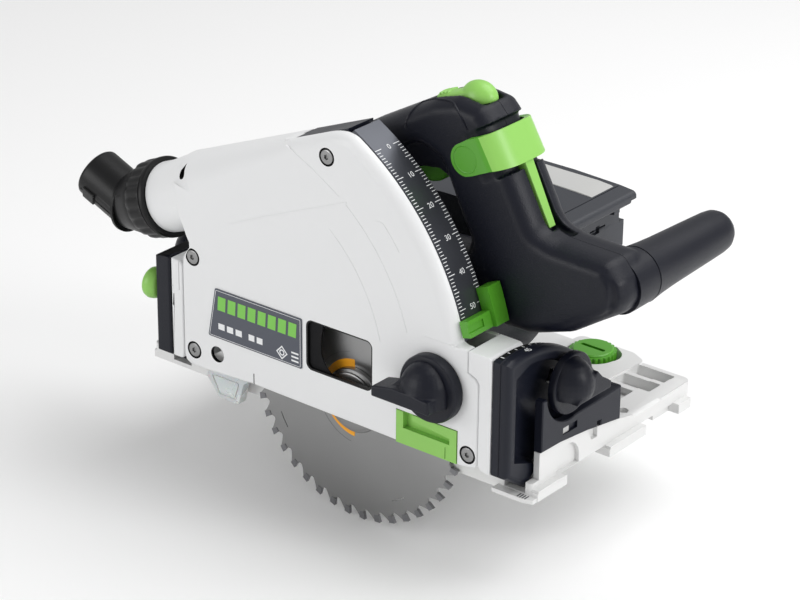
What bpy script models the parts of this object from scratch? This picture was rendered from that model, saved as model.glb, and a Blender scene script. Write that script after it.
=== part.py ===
"""Cordless track plunge saw: a guide-rail base, a tilting blade housing and a plunging motor unit.

Frame: +X is the cutting direction, +Y is the motor side, +Z is up. The origin is the middle of the underside of
the base. Sizes below are in millimetres and count from a working point on the same underside, below the blade
axis at full plunge and in the middle plane of the blade. Meshes are moved to the origin and scaled to metres when
they are made.
"""

import math

import bmesh
import bpy
from mathutils import Matrix, Vector

MM = 0.001
GAP = 0.3

# Driving dimensions
BASE_MIDDLE = (-20.0, 88.6, 0.0)
BLADE_RADIUS = 80.0
BLADE_Z = 25.0
BLADE_HALF = 0.8
BLADE_TEETH = 42
FIRST_TOOTH = -16.5
FLANGE_RADIUS = 20.7
PIVOT_X = -80.0
PIVOT_Z = 50.0
SPINDLE_SWING = math.hypot(PIVOT_X, PIVOT_Z - BLADE_Z)
PLUNGE_TRAVEL = 40.0

MODULE = 1.0
GEAR_TEETH = 38
PINION_TEETH = 12
MOTOR_X = 10.0
MOTOR_Z = BLADE_Z + math.sqrt((MODULE * (GEAR_TEETH + PINION_TEETH) / 2) ** 2 - MOTOR_X ** 2)
MOTOR_RADIUS = 33.0

FACE_Y = -14.0
INNER_FACE_Y = -11.5
RIM_Y = -7.3
PLATE_Y = (13.0, 16.0)
HOUSING_BOTTOM = 16.0
HOUSING_FRONT = 100.0
HOUSING_REAR = -128.0
SHOULDER_Z = 90.0
ARC_RADIUS = 170.0
TOP_SLOPE = 0.4
TOP_POINT = (-147.4, 141.0)

PORT_CENTRE = (-155.0, 8.2, 111.0)
PORT_RADIUS = 22.2
PORT_TILT = 21.0
NOZZLE_TILT = 23.0
ELBOW_REACH = 37.0
NOZZLE_REACH = 33.0

QUADRANT_RADIUS = 91.0
CLAMP_RADIUS = 72.5
CLAMP_ANGLE = 60.0
CLAMP_Y = CLAMP_RADIUS * math.cos(math.radians(CLAMP_ANGLE))
CLAMP_Z = CLAMP_RADIUS * math.sin(math.radians(CLAMP_ANGLE))
FRONT_QUADRANT = (110.0, 122.0)
REAR_QUADRANT = (-150.0, -138.0)

BASE_REAR = -168.0
BASE_FRONT = 128.0
BASE_EDGE = 2.2
BASE_LEFT = 175.0
BASE_TOP = 10.0
RAIL_TOP = 15.0
CAM_FRONT = (60.0, 158.0)
CAM_REAR = (-120.0, 158.0)

HANDLE_Y = (25.0, 45.0, 65.0)
LEVER_PIVOT = (62.0, 188.0)
TRIGGER_PIVOT = (42.0, 186.0)
SIDE_HANDLE = (151.0, 127.0)
GUARD_KNOB = (69.0, 60.7)
FLAP_PIVOT = (-81.0, 21.0)
RELEASE_BUTTON = (-6.0, 57.0)
DIAL_CENTRE = (10.0, MOTOR_Z + 22.0)
LATCH_X = -46.0

# Cover screws: X, Z and the depth at which the shank ends
SCREWS = ((-118.5, 88.0, 8.0), (-118.5, 25.6, -8.6), (-11.8, 181.0, 8.0), (93.4, 24.1, 8.0))

# Direction square to the front of the post, and distances along it: the lever's outer face, its inner face
# and the bottom of the groove that it swings in
POST_NORMAL = Vector((0.86, 0.51)).normalized()
BAND_OUTER = 172.6
BAND_INNER = 169.4
BAND_GROOVE = 166.4
BAND_HEIGHTS = (113.6, 138.0)

# Front view of the raised wall at the front of the base
FRONT_WALL = [(9, 8), (9, 27), (28, 26.6), (55, 23.8), (88, 18.6), (104, RAIL_TOP), (104, 8)]

# Side views of the trigger and of the rooms inside the handle
TRIGGER_SIDE = [(5, 171), (9, 178.5), (42, 190), (45.5, 182), (37.5, 169), (31, 161), (23, 158.6), (11, 163)]
SWITCH_ROOM = [(-6, 160), (0, 190), (37, 205), (50, 182), (36, 165)]
THUMB_ROOM = [(28, 207), (24, 214), (60, 232), (72, 222), (60, 214)]

COLOURS = {
    "painted_aluminium": ((0.74, 0.75, 0.76), 0.38, 0.1),
    "cast_aluminium": ((0.72, 0.72, 0.71), 0.45, 0.6),
    "navy_plastic": ((0.022, 0.026, 0.045), 0.45, 0.0),
    "black_plastic": ((0.012, 0.012, 0.013), 0.5, 0.0),
    "green_plastic": ((0.14, 0.50, 0.05), 0.38, 0.0),
    "blade_steel": ((0.62, 0.62, 0.62), 0.28, 1.0),
    "bright_steel": ((0.55, 0.55, 0.56), 0.3, 1.0),
    "clear_plastic": ((0.80, 0.82, 0.82), 0.2, 0.0),
    "scale_plate": ((0.10, 0.11, 0.13), 0.35, 0.4),
    "grey_plastic": ((0.10, 0.105, 0.12), 0.5, 0.0),
    "copper": ((0.60, 0.28, 0.14), 0.4, 1.0),
    "label": ((0.04, 0.05, 0.065), 0.4, 0.0),
}


def clear_scene():
    for item in list(bpy.data.objects):
        bpy.data.objects.remove(item, do_unlink=True)


def material(name):
    found = bpy.data.materials.get(name)
    if found:
        return found
    colour, roughness, metallic = COLOURS[name]
    made = bpy.data.materials.new(name)
    made.use_nodes = True
    shader = made.node_tree.nodes["Principled BSDF"]
    shader.inputs["Base Color"].default_value = (*colour, 1.0)
    shader.inputs["Roughness"].default_value = roughness
    shader.inputs["Metallic"].default_value = metallic
    return made


# Outlines ---------------------------------------------------------------------------------------------------


def arc(cx, cz, radius, start, stop, steps):
    """Points on a circle from one angle to another, both ends included, in degrees."""
    angles = [math.radians(start + (stop - start) * i / steps) for i in range(steps + 1)]
    return [(cx + radius * math.cos(a), cz + radius * math.sin(a)) for a in angles]


def rectangle(low_u, low_v, high_u, high_v):
    return [(low_u, low_v), (high_u, low_v), (high_u, high_v), (low_u, high_v)]


def rounded(points, radius, steps=3):
    """The same polygon with each corner turned into an arc of the given radius, or less where it is tight."""
    result = []
    count = len(points)
    for i, corner in enumerate(points):
        here = Vector(corner)
        back = Vector(points[i - 1]) - here
        ahead = Vector(points[(i + 1) % count]) - here
        half = back.angle(ahead) / 2
        reach = min(radius / math.tan(half), back.length * 0.45, ahead.length * 0.45)
        size = reach * math.tan(half)
        start = here + back.normalized() * reach
        stop = here + ahead.normalized() * reach
        centre = here + (back.normalized() + ahead.normalized()).normalized() * (size / math.sin(half))
        for k in range(steps + 1):
            spoke = (start - centre).lerp(stop - centre, k / steps).normalized() * size
            result.append(tuple(centre + spoke))
    return result


def capsule(a, b, radius_a, radius_b, steps):
    """Two circles and the straight lines that touch both, as one outline."""
    run = Vector(b) - Vector(a)
    turn = math.degrees(math.atan2(run.y, run.x))
    lean = math.degrees(math.acos((radius_a - radius_b) / run.length))
    far = arc(b[0], b[1], radius_b, turn - lean, turn + lean, steps)
    near = arc(a[0], a[1], radius_a, turn + lean, turn + 360 - lean, steps)
    return far + near


def toothed(cx, cz, teeth, root, tip, root_share, tip_share, phase):
    """A toothed wheel, one tooth centred on the angle phase. Shares are of the pitch."""
    pitch = 360 / teeth
    points = []
    for i in range(teeth):
        middle = phase + i * pitch
        for offset, radius in ((-root_share, root), (-tip_share, tip), (tip_share, tip), (root_share, root)):
            a = math.radians(middle + offset * pitch / 2)
            points.append((cx + radius * math.cos(a), cz + radius * math.sin(a)))
    return points


# Solids -----------------------------------------------------------------------------------------------------


def place(axis, depth, u, v):
    """A point at a depth along an axis, with u and v the other two coordinates in X, Y, Z order."""
    if axis == "X":
        return (depth, u, v)
    if axis == "Y":
        return (u, depth, v)
    return (u, v, depth)


def signed_area(points):
    return sum(
        points[i - 1][0] * points[i][1] - points[i][0] * points[i - 1][1] for i in range(len(points))
    ) / 2


def new_object(name, mesh_data, finish, smooth=True):
    bmesh.ops.translate(mesh_data, vec=-Vector(BASE_MIDDLE), verts=mesh_data.verts)
    bmesh.ops.scale(mesh_data, vec=(MM, MM, MM), verts=mesh_data.verts)
    bmesh.ops.recalc_face_normals(mesh_data, faces=mesh_data.faces)
    mesh = bpy.data.meshes.new(name)
    mesh_data.to_mesh(mesh)
    mesh_data.free()
    if smooth:
        mesh.shade_smooth()
        mesh.set_sharp_from_angle(angle=math.radians(32))
    item = bpy.data.objects.new(name, mesh)
    bpy.context.scene.collection.objects.link(item)
    mesh.materials.append(material(finish))
    return item


def loft(name, layers, axis, finish):
    """A solid through outlines with the same number of points; layers are (depth, outline) pairs."""
    mesh_data = bmesh.new()
    rings = []
    for depth, outline in layers:
        rings.append([mesh_data.verts.new(place(axis, depth, u, v)) for u, v in outline])
    for low, high in zip(rings, rings[1:]):
        for i in range(len(low)):
            mesh_data.faces.new((low[i - 1], low[i], high[i], high[i - 1]))
    mesh_data.faces.new(rings[0])
    mesh_data.faces.new(list(reversed(rings[-1])))
    return new_object(name, mesh_data, finish)


def prism(name, outline, axis, low, high, finish):
    return loft(name, [(low, outline), (high, outline)], axis, finish)


def turned(name, profile, centre, direction, steps, finish):
    """A solid of revolution. The profile is (distance along the axis, radius) pairs that start and end at
    radius 0, or a closed ring of such pairs that never reaches the axis."""
    mesh_data = bmesh.new()
    closed = profile[0][1] > 0
    frame = Vector((0, 0, 1)).rotation_difference(Vector(direction).normalized()).to_matrix()
    rings = []
    for along, radius in profile:
        count = steps if radius > 0 else 1
        ring = []
        for i in range(count):
            a = 2 * math.pi * i / steps
            spot = frame @ Vector((radius * math.cos(a), radius * math.sin(a), along))
            ring.append(mesh_data.verts.new(spot + Vector(centre)))
        rings.append(ring)
    pairs = list(zip(rings, rings[1:]))
    if closed:
        pairs.append((rings[-1], rings[0]))
    for low, high in pairs:
        for i in range(steps):
            if len(low) == 1:
                corners = [low[0], high[i], high[i - 1]]
            elif len(high) == 1:
                corners = [low[i - 1], low[i], high[0]]
            else:
                corners = [low[i - 1], low[i], high[i], high[i - 1]]
            mesh_data.faces.new(corners)
    return new_object(name, mesh_data, finish)


def rod(name, centre, direction, low, high, radius, steps, finish):
    profile = [(low, 0), (low, radius), (high, radius), (high, 0)]
    return turned(name, profile, centre, direction, steps, finish)


def tube(name, centre, direction, low, high, inner, outer, steps, finish):
    profile = [(low, inner), (low, outer), (high, outer), (high, inner)]
    return turned(name, profile, centre, direction, steps, finish)


def band(name, cx, cz, inner, outer, start, stop, steps, low, high, finish):
    """A piece of a ring about an axis along Y, between two angles."""
    outline = arc(cx, cz, outer, start, stop, steps) + arc(cx, cz, inner, stop, start, steps)
    return prism(name, outline, "Y", low, high, finish)


def coil(name, centre, radius, wire, turns, pitch, steps, finish):
    """A coil spring about an axis along Y."""
    mesh_data = bmesh.new()
    rings = []
    sides = 5
    count = int(turns * steps)
    for i in range(count + 1):
        a = 2 * math.pi * i / steps
        out = Vector((math.cos(a), 0, math.sin(a)))
        middle = Vector(centre) + out * radius + Vector((0, pitch * i / steps, 0))
        ring = []
        for k in range(sides):
            b = 2 * math.pi * k / sides
            ring.append(mesh_data.verts.new(middle + out * wire * math.cos(b) + Vector((0, wire * math.sin(b), 0))))
        rings.append(ring)
    for low, high in zip(rings, rings[1:]):
        for k in range(sides):
            mesh_data.faces.new((low[k - 1], low[k], high[k], high[k - 1]))
    mesh_data.faces.new(rings[0])
    mesh_data.faces.new(list(reversed(rings[-1])))
    return new_object(name, mesh_data, finish)


def combine(target, tool, operation):
    step = target.modifiers.new(tool.name, "BOOLEAN")
    step.operation = operation
    step.solver = "EXACT"
    step.object = tool
    tool.hide_render = True
    tool.display_type = "WIRE"


def cut(target, *tools):
    for tool in tools:
        combine(target, tool, "DIFFERENCE")


def join(target, *tools):
    for tool in tools:
        combine(target, tool, "UNION")


def joint_frame(name, location, parent=None):
    """An empty on a joint's axis, to which the moving pieces are parented."""
    empty = bpy.data.objects.new(name, None)
    bpy.context.scene.collection.objects.link(empty)
    empty["world"] = [(value - middle) * MM for value, middle in zip(location, BASE_MIDDLE)]
    empty.location = Vector(empty["world"])
    if parent:
        empty.parent = parent
        empty.location = Vector(empty["world"]) - Vector(parent["world"])
    return empty


def carry(empty, *pieces):
    for piece in pieces:
        piece.parent = empty
        piece.matrix_parent_inverse = Matrix.Translation(-Vector(empty["world"]))


# Base -------------------------------------------------------------------------------------------------------


def base_plate():
    notch = 34.0
    outline = [
        (BASE_REAR, BASE_EDGE),
        (-notch, BASE_EDGE),
        (-notch, 46.0),
        (notch, 46.0),
        (notch, BASE_EDGE),
        (BASE_FRONT, BASE_EDGE),
        (BASE_FRONT, BASE_LEFT - 8),
        (BASE_FRONT - 8, BASE_LEFT),
        (BASE_REAR + 8, BASE_LEFT),
        (BASE_REAR, BASE_LEFT - 8),
    ]
    plate = prism("base_plate", outline, "Z", 0, BASE_TOP, "cast_aluminium")
    rail = prism("base_rail", rectangle(109, 18, BASE_FRONT, 160), "Z", 5, RAIL_TOP, "cast_aluminium")
    lip = prism("base_lip", rectangle(105, -4, BASE_FRONT, 8), "Z", 0, 3, "cast_aluminium")
    wall = prism("front_wall", FRONT_WALL, "X", 124, BASE_FRONT, "cast_aluminium")
    pocket_block = prism("pocket_block", rounded(rectangle(86, 131, 127.8, 167), 5), "Z", 4, 14.6, "cast_aluminium")
    join(plate, rail, lip, wall, pocket_block)
    for low, high in ((BASE_EDGE, 31), (75, 112), (147, 160)):
        join(plate, prism("front_step", rectangle(120, low, 132.4, high), "Z", 0, 6.4, "cast_aluminium"))
    for x, y in (CAM_FRONT, CAM_REAR):
        cam_block = rounded(rectangle(x - 24, y - 24, x + 24, y + 16), 5)
        join(plate, prism("cam_block", cam_block, "Z", 4, 15.4, "cast_aluminium"))
    half_slot = 7.5
    for quadrant_range in (FRONT_QUADRANT, REAR_QUADRANT):
        low = sum(quadrant_range) / 2 - half_slot
        high = low + 2 * half_slot
        cut(plate, prism("quadrant_slot", rectangle(low, 0, high, 15.5), "Z", 3, 20, "black_plastic"))
        cut(plate, prism("rail_slot", rectangle(low, 15, high, 93), "Z", BASE_TOP, 20, "black_plastic"))
    cut(plate, prism("guide_groove", rectangle(-180, 112, 140, 130), "Z", -1, 4.5, "black_plastic"))
    for low, high in ((31, 75), (112, 147)):
        cut(plate, prism("front_arch", rectangle(122, low, 135, high), "Z", -1, 6, "black_plastic"))
    for low, high in ((135.5, 148), (151.5, 163.5)):
        cut(plate, prism("top_pocket", rounded(rectangle(91, low, 118, high), 2), "Z", 3, 20, "black_plastic"))
    for x, y in (CAM_FRONT, CAM_REAR):
        cut(plate, rod("cam_well", (x, y, 0), (0, 0, 1), 3, 30, 16.8, 18, "black_plastic"))
        cut(plate, rod("cam_bore", (x, y, 0), (0, 0, 1), -1, 30, 10.2, 14, "black_plastic"))
    cut(plate, prism("strip_seat", rectangle(-150, 51, 100, 61), "Z", -1, 1.5, "black_plastic"))
    return plate


def base_pieces():
    base_plate()
    prism("glide_strip", rectangle(-149.6, 51.4, 99.6, 60.6), "Z", 0, 1.2, "black_plastic")
    for end, low, high in (("front", 103.0, 108.6), ("rear", -137.0, -131.4)):
        outline = rounded([(22, 9.0), (62, 9.0), (56, 66), (44, 72), (28, 72), (22, 62)], 4)
        top = BASE_TOP + GAP
        outline = [(y, max(z, top)) for y, z in outline]
        bracket = prism(end + "_tilt_bracket", outline, "X", low, high, "cast_aluminium")
        cut(bracket, rod("bolt_hole", (0, CLAMP_Y, CLAMP_Z), (1, 0, 0), low - 2, high + 2, 4.0, 16, "black_plastic"))
    head = [(99.5, 0), (99.5, 7), (102.7, 7), (102.7, 3.6), (128, 3.6), (128, 0)]
    turned("front_clamp_bolt", head, (0, CLAMP_Y, CLAMP_Z), (1, 0, 0), 12, "bright_steel")
    head = [(127.9, 0), (127.9, 7), (131.1, 7), (131.1, 3.6), (156, 3.6), (156, 0)]
    turned("rear_clamp_bolt", head, (0, CLAMP_Y, CLAMP_Z), (-1, 0, 0), 12, "bright_steel")
    block_cover()


def block_cover():
    """Dark cover over the front bracket; its top is hollowed round the clamp knob."""
    ear = 9.0
    bowl = 25.0
    left = math.degrees(math.asin((CLAMP_Z - 61.0) / bowl))
    right = math.degrees(math.asin((CLAMP_Z - 40.0) / bowl))
    outline = [(y, z + 2 * GAP) for y, z in FRONT_WALL[1:5]] + [(88, 42), (62, 40)]
    outline += arc(CLAMP_Y, CLAMP_Z, bowl, -right, -180 + left, 10)
    outline += [(ear, 61)]
    block = prism("front_block_cover", outline, "X", 123.7, 130.5, "navy_plastic")
    join(block, prism("block_side", rectangle(85.8, 20, 88, 41.8), "X", 112, 126, "navy_plastic"))
    cut(block, prism("block_window", rectangle(29.5, 31.4, 43.6, 35.9), "X", 120, 135, "black_plastic"))


def clamp_knobs():
    """The two tilt clamp knobs, each with a bar-shaped wing across its face."""
    for end, face, direction in (("front", 125.4, (1, 0, 0)), ("rear", -153.4, (-1, 0, 0))):
        sign = direction[0]
        joint = joint_frame(end + "_clamp_axis", (face, CLAMP_Y, CLAMP_Z))
        knob = rod(end + "_clamp_knob", (face, CLAMP_Y, CLAMP_Z), direction, 0, 10, 22, 24, "navy_plastic")
        crown = turned(
            "knob_crown",
            [(5, 0), (5, 19.5), (14, 18), (21, 14), (24, 8), (24, 0)],
            (face, CLAMP_Y, CLAMP_Z),
            direction,
            18,
            "navy_plastic",
        )
        wing = prism(
            "knob_wing",
            rounded(rectangle(CLAMP_Y, CLAMP_Z - 13, CLAMP_Y + 30, CLAMP_Z - 4), 3),
            "X",
            min(face + sign * 9, face + sign * 22),
            max(face + sign * 9, face + sign * 22),
            "navy_plastic",
        )
        join(knob, crown, wing)
        cut(knob, rod("knob_bore", (face, CLAMP_Y, CLAMP_Z), direction, -1, 4.5, 4.4, 16, "black_plastic"))
        carry(joint, knob)


def rail_cams():
    """Two turned cams that take up the play between the base and the guide rail's rib."""
    for end, (x, y) in (("front", CAM_FRONT), ("rear", CAM_REAR)):
        joint = joint_frame(end + "_cam_axis", (x, y, 0))
        wheel = toothed(x, y, 15, 13.9, 15.0, 0.9, 0.45, 0)
        cam = prism(end + "_rail_cam", wheel, "Z", 3.4, 19, "green_plastic")
        join(cam, rod("cam_stem", (x + 1.0, y, 0), (0, 0, 1), 0.8, 8, 8.4, 12, "green_plastic"))
        cut(cam, prism("cam_slot", rectangle(x - 9, y - 1.3, x + 9, y + 1.3), "Z", 16.5, 25, "black_plastic"))
        carry(joint, cam)


# Blade housing ----------------------------------------------------------------------------------------------


def top_reach(inset):
    """Angle about the plunge pivot at which the curved front edge meets the sloping top."""
    lean = math.atan(TOP_SLOPE)
    rise = math.cos(lean) * (TOP_POINT[1] - PIVOT_Z) - math.sin(lean) * (TOP_POINT[0] - PIVOT_X)
    return math.degrees(lean + math.asin((rise - inset) / (ARC_RADIUS - inset)))


def housing_outline(inset, bottom, open_front=False):
    """Side view of the blade housing. The curved and top edges move in by the inset, the rest by less."""
    radius = ARC_RADIUS - inset
    shoulder = SHOULDER_Z - 2.0 if open_front else SHOULDER_Z
    start = math.degrees(math.asin((shoulder - PIVOT_Z) / radius))
    rear = HOUSING_REAR + min(inset, 2.0)
    drop = inset / math.cos(math.atan(TOP_SLOPE))
    points = [(HOUSING_FRONT, bottom), (HOUSING_FRONT, 73), (92, 75), (92, SHOULDER_Z)]
    if open_front:
        points = [(HOUSING_FRONT + 12, bottom), (HOUSING_FRONT + 12, shoulder)]
    points += arc(PIVOT_X, PIVOT_Z, radius, start, top_reach(inset), 14)
    for x in (-46, TOP_POINT[0] + 14 + inset):
        points.append((x, TOP_POINT[1] + TOP_SLOPE * (x - TOP_POINT[0]) - drop))
    points += [(TOP_POINT[0] + 14 + inset, 128), (-122.5 + min(inset, 2), 97), (rear, 84), (rear, bottom)]
    return points


def blade_cover():
    layers = [
        (FACE_Y, housing_outline(7.0, HOUSING_BOTTOM)),
        (-12.2, housing_outline(2.6, HOUSING_BOTTOM)),
        (RIM_Y, housing_outline(0.0, HOUSING_BOTTOM)),
        (PLATE_Y[0] - GAP, housing_outline(0.0, HOUSING_BOTTOM)),
    ]
    cover = loft("blade_cover", layers, "Y", "painted_aluminium")
    port_side = (-math.cos(math.radians(PORT_TILT)), 0, -math.sin(math.radians(PORT_TILT)))
    spout = rod("cover_spout", PORT_CENTRE, port_side, -26, 0, PORT_RADIUS, 24, "painted_aluminium")
    join(cover, spout)
    inside = housing_outline(2.6, HOUSING_BOTTOM - 6, open_front=True)
    cut(cover, prism("cover_inside", inside, "Y", INNER_FACE_Y, 40, "black_plastic"))
    cut(cover, prism("open_front", rectangle(-46, 0, 120, 230), "Y", RIM_Y, 40, "black_plastic"))
    cut(cover, rod("spout_bore", PORT_CENTRE, port_side, -40, 5, PORT_RADIUS - 2.4, 20, "black_plastic"))
    window = rounded(rectangle(-28, 41.4, 22.7, 74.1), 4.5, 3)
    cut(cover, prism("cover_window", window, "Y", -20, 0, "black_plastic"))
    cut(cover, prism("guard_gate", rectangle(40.6, 5, 86.4, 37.4), "Y", -20, -3, "black_plastic"))
    cut(cover, rod("plug_hole", (-99.4, 0, 28.4), (0, 1, 0), -20, -5, 5.4, 12, "black_plastic"))
    cut(cover, rod("knob_hole", (GUARD_KNOB[0], 0, GUARD_KNOB[1]), (0, 1, 0), -20, -5, 4.4, 12, "black_plastic"))
    seat = [(-20, 0), (-20, 4.9), (-12.4, 4.9), (-12.4, 2.4), (-9, 2.4), (-9, 0)]
    for x, z, _ in SCREWS:
        cut(cover, turned("screw_seat", seat, (x, 0, z), (0, 1, 0), 10, "black_plastic"))
    return cover


def cover_screws():
    made = []
    for number, (x, z, end) in enumerate(SCREWS, 1):
        profile = [(-14.8, 0), (-14.8, 4.5), (-12.7, 4.5), (-12.7, 2.0), (end, 2.0), (end, 0)]
        screw = turned("cover_screw_%d" % number, profile, (x, 0, z), (0, 1, 0), 10, "bright_steel")
        cut(screw, rod("screw_socket", (x, 0, z), (0, 1, 0), -20, -13.4, 1.9, 6, "black_plastic"))
        made.append(screw)
    return made


def inner_plate():
    """The wall on the motor side, with an arc-shaped slot in which the spindle nose travels."""
    outline = housing_outline(2.6, HOUSING_BOTTOM - 2)
    plate = prism("inner_plate", outline, "Y", *PLATE_Y, "cast_aluminium")
    rest = math.degrees(math.atan2(BLADE_Z - PIVOT_Z, -PIVOT_X))
    wide = 17.6
    slot = band(
        "spindle_slot", PIVOT_X, PIVOT_Z, SPINDLE_SWING - wide, SPINDLE_SWING + wide,
        rest - 3, rest + PLUNGE_TRAVEL, 10, 5, 25, "black_plastic",
    )
    cut(plate, slot)
    for angle in (rest, rest + PLUNGE_TRAVEL):
        a = math.radians(angle)
        end = (PIVOT_X + SPINDLE_SWING * math.cos(a), 0, PIVOT_Z + SPINDLE_SWING * math.sin(a))
        cut(plate, rod("slot_end", end, (0, 1, 0), 5, 25, wide, 22, "black_plastic"))
    cut(plate, rod("pin_seat", (PIVOT_X, 0, PIVOT_Z), (0, 1, 0), 5, 25, 6.3, 16, "black_plastic"))
    spout = (-math.cos(math.radians(PORT_TILT)), 0, -math.sin(math.radians(PORT_TILT)))
    cut(plate, rod("spout_relief", PORT_CENTRE, spout, -30, 20, PORT_RADIUS + 0.5, 20, "black_plastic"))
    return plate


def end_housings():
    """The two end castings that join the housing to the tilt quadrants."""
    bottom = HOUSING_BOTTOM
    outline = [(100.4, bottom), (109.6, bottom), (109.6, 88), (107.6, SHOULDER_Z), (92.4, SHOULDER_Z),
               (92.4, 75.4), (100.4, 73.4)]
    front = prism("front_end_housing", outline, "Y", FACE_Y, PLATE_Y[1], "painted_aluminium")
    rear_box = [(REAR_QUADRANT[1] + GAP, bottom), (HOUSING_REAR - GAP, bottom),
                (HOUSING_REAR - GAP, 80), (REAR_QUADRANT[1] + GAP, 82)]
    rear = prism("rear_end_housing", rear_box, "Y", FACE_Y + 1, PLATE_Y[1], "painted_aluminium")
    y, z = RELEASE_BUTTON
    cut(rear, rod("button_hole", (0, y, z), (1, 0, 0), -160, -130, 4.4, 14, "black_plastic"))
    return front, rear


def quadrant(name, low, high, height, flat):
    """A tilt quadrant about the edge of the base, with a concentric slot for the clamp bolt."""
    outline = [(FACE_Y, 17), (6, 3.6), (18, 14), (84, 14)]
    outline += arc(0, 0, QUADRANT_RADIUS, 23, height, 16)
    outline += [(FACE_Y, flat)]
    plate = prism(name, outline, "X", low, high, "navy_plastic")
    slot = arc(0, 0, CLAMP_RADIUS + 4.6, 10, 64, 14) + arc(0, 0, CLAMP_RADIUS - 4.6, 64, 10, 14)
    cut(plate, prism("clamp_slot", slot, "X", low - 5, high + 5, "black_plastic"))
    recess = arc(0, 0, QUADRANT_RADIUS - 6, 12, 80, 16) + arc(0, 0, 22, 80, 30, 6)
    front = low if high < 0 else high
    depth = 6 if high > 0 else -6
    ends = sorted((front - depth, front + depth))
    cut(plate, prism("quadrant_recess", recess, "X", *ends, "black_plastic"))
    return plate


def quadrants():
    front = quadrant("front_tilt_quadrant", *FRONT_QUADRANT, 96, 89)
    rear = quadrant("rear_tilt_quadrant", *REAR_QUADRANT, 75, 82)
    y, z = RELEASE_BUTTON
    cut(rear, rod("release_hole", (0, y, z), (1, 0, 0), -160, -130, 4.4, 14, "black_plastic"))
    return front, rear


def depth_scale():
    outer = ARC_RADIUS + 0.6
    strip = band("depth_scale", PIVOT_X, PIVOT_Z, outer - 2.5, outer, 14.0, 61.0, 26, RIM_Y + GAP, PLATE_Y[1],
                 "scale_plate")
    return strip


def top_cap():
    """Dark cap that closes the top of the housing between the cover and the depth scale."""
    rear, front = -45.4, -1.5
    top = [(x, TOP_POINT[1] + TOP_SLOPE * (x - TOP_POINT[0])) for x in (rear, front)]
    outline = top + [(x, z - 2.6) for x, z in reversed(top)]
    return prism("top_cap", outline, "Y", RIM_Y + GAP, PLATE_Y[1], "navy_plastic")


def pivot_and_spring():
    profile = [(8.0, 0), (8.0, 9.0), (12.6, 9.0), (12.6, 6.0), (40, 6.0), (40, 10), (44, 10), (44, 0)]
    pin = turned("plunge_pivot_pin", profile, (PIVOT_X, 0, PIVOT_Z), (0, 1, 0), 14, "bright_steel")
    spring = coil("plunge_spring", (PIVOT_X, 26.6, PIVOT_Z), 9.4, 1.3, 3.6, 3.2, 10, "bright_steel")
    return pin, spring


def label_plate():
    outline = [(-106, 40), (-31, 40), (-31, 73), (-100, 73)]
    return prism("label_plate", outline, "Y", FACE_Y - 0.9, FACE_Y - GAP, "label")


def depth_stop():
    """Stop that runs along the depth scale and holds by a spring button."""
    inner = ARC_RADIUS + 1.0
    stop = band("depth_stop", PIVOT_X, PIVOT_Z, inner, inner + 6, 15.0, 18.6, 2, -9.5, 23.4, "green_plastic")
    finger = band("stop_finger", PIVOT_X, PIVOT_Z, inner + 0.4, inner + 8.6, 15.0, 22.6, 3, 17, 23.4, "green_plastic")
    hook = band("stop_hook", PIVOT_X, PIVOT_Z, inner - 8, inner + 6, 15.0, 21.6, 3, 16.8, 19.6, "green_plastic")
    join(stop, finger, hook)
    joint = joint_frame("depth_stop_axis", (PIVOT_X, 0, PIVOT_Z))
    carry(joint, stop)
    return stop, joint


def splinter_guard():
    outline = rectangle(41, 15.4, 86, 37)
    guard = prism("splinter_guard", outline, "Y", FACE_Y - 1.2, -9.4, "green_plastic")
    tongue = prism("guard_tongue", rectangle(60, 30, 78, 88), "Y", INNER_FACE_Y + GAP, -9.4, "green_plastic")
    join(guard, tongue)
    cut(guard, prism("tongue_slot", rounded(rectangle(64.8, 55.5, 73.2, 82), 3.5), "Y", -12, 0, "black_plastic"))
    cut(guard, prism("grip_recess", rectangle(46, 25.5, 80, 32.5), "Y", -20, FACE_Y + 1.6, "black_plastic"))
    return guard


def guard_knob():
    x, z = GUARD_KNOB
    profile = [(FACE_Y - GAP, 0), (FACE_Y - GAP, 21), (-20, 21), (-22, 19.5), (-31, 16), (-35, 10), (-36, 0)]
    knob = turned("guard_knob", profile, (x, 0, z), (0, 1, 0), 22, "navy_plastic")
    wing = prism("guard_wing", rounded(rectangle(x - 30, z - 8, x, z + 1), 3), "Y", -33, -19, "navy_plastic")
    stem = turned("guard_stem", [(-16, 0), (-16, 3.6), (-9.1, 3.6), (-9.1, 6.5), (-8.2, 6.5), (-8.2, 0)],
                  (x, 0, z), (0, 1, 0), 14, "navy_plastic")
    join(knob, wing, stem)
    joint = joint_frame("guard_knob_axis", (x, 0, z))
    carry(joint, knob)
    return knob, joint


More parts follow.
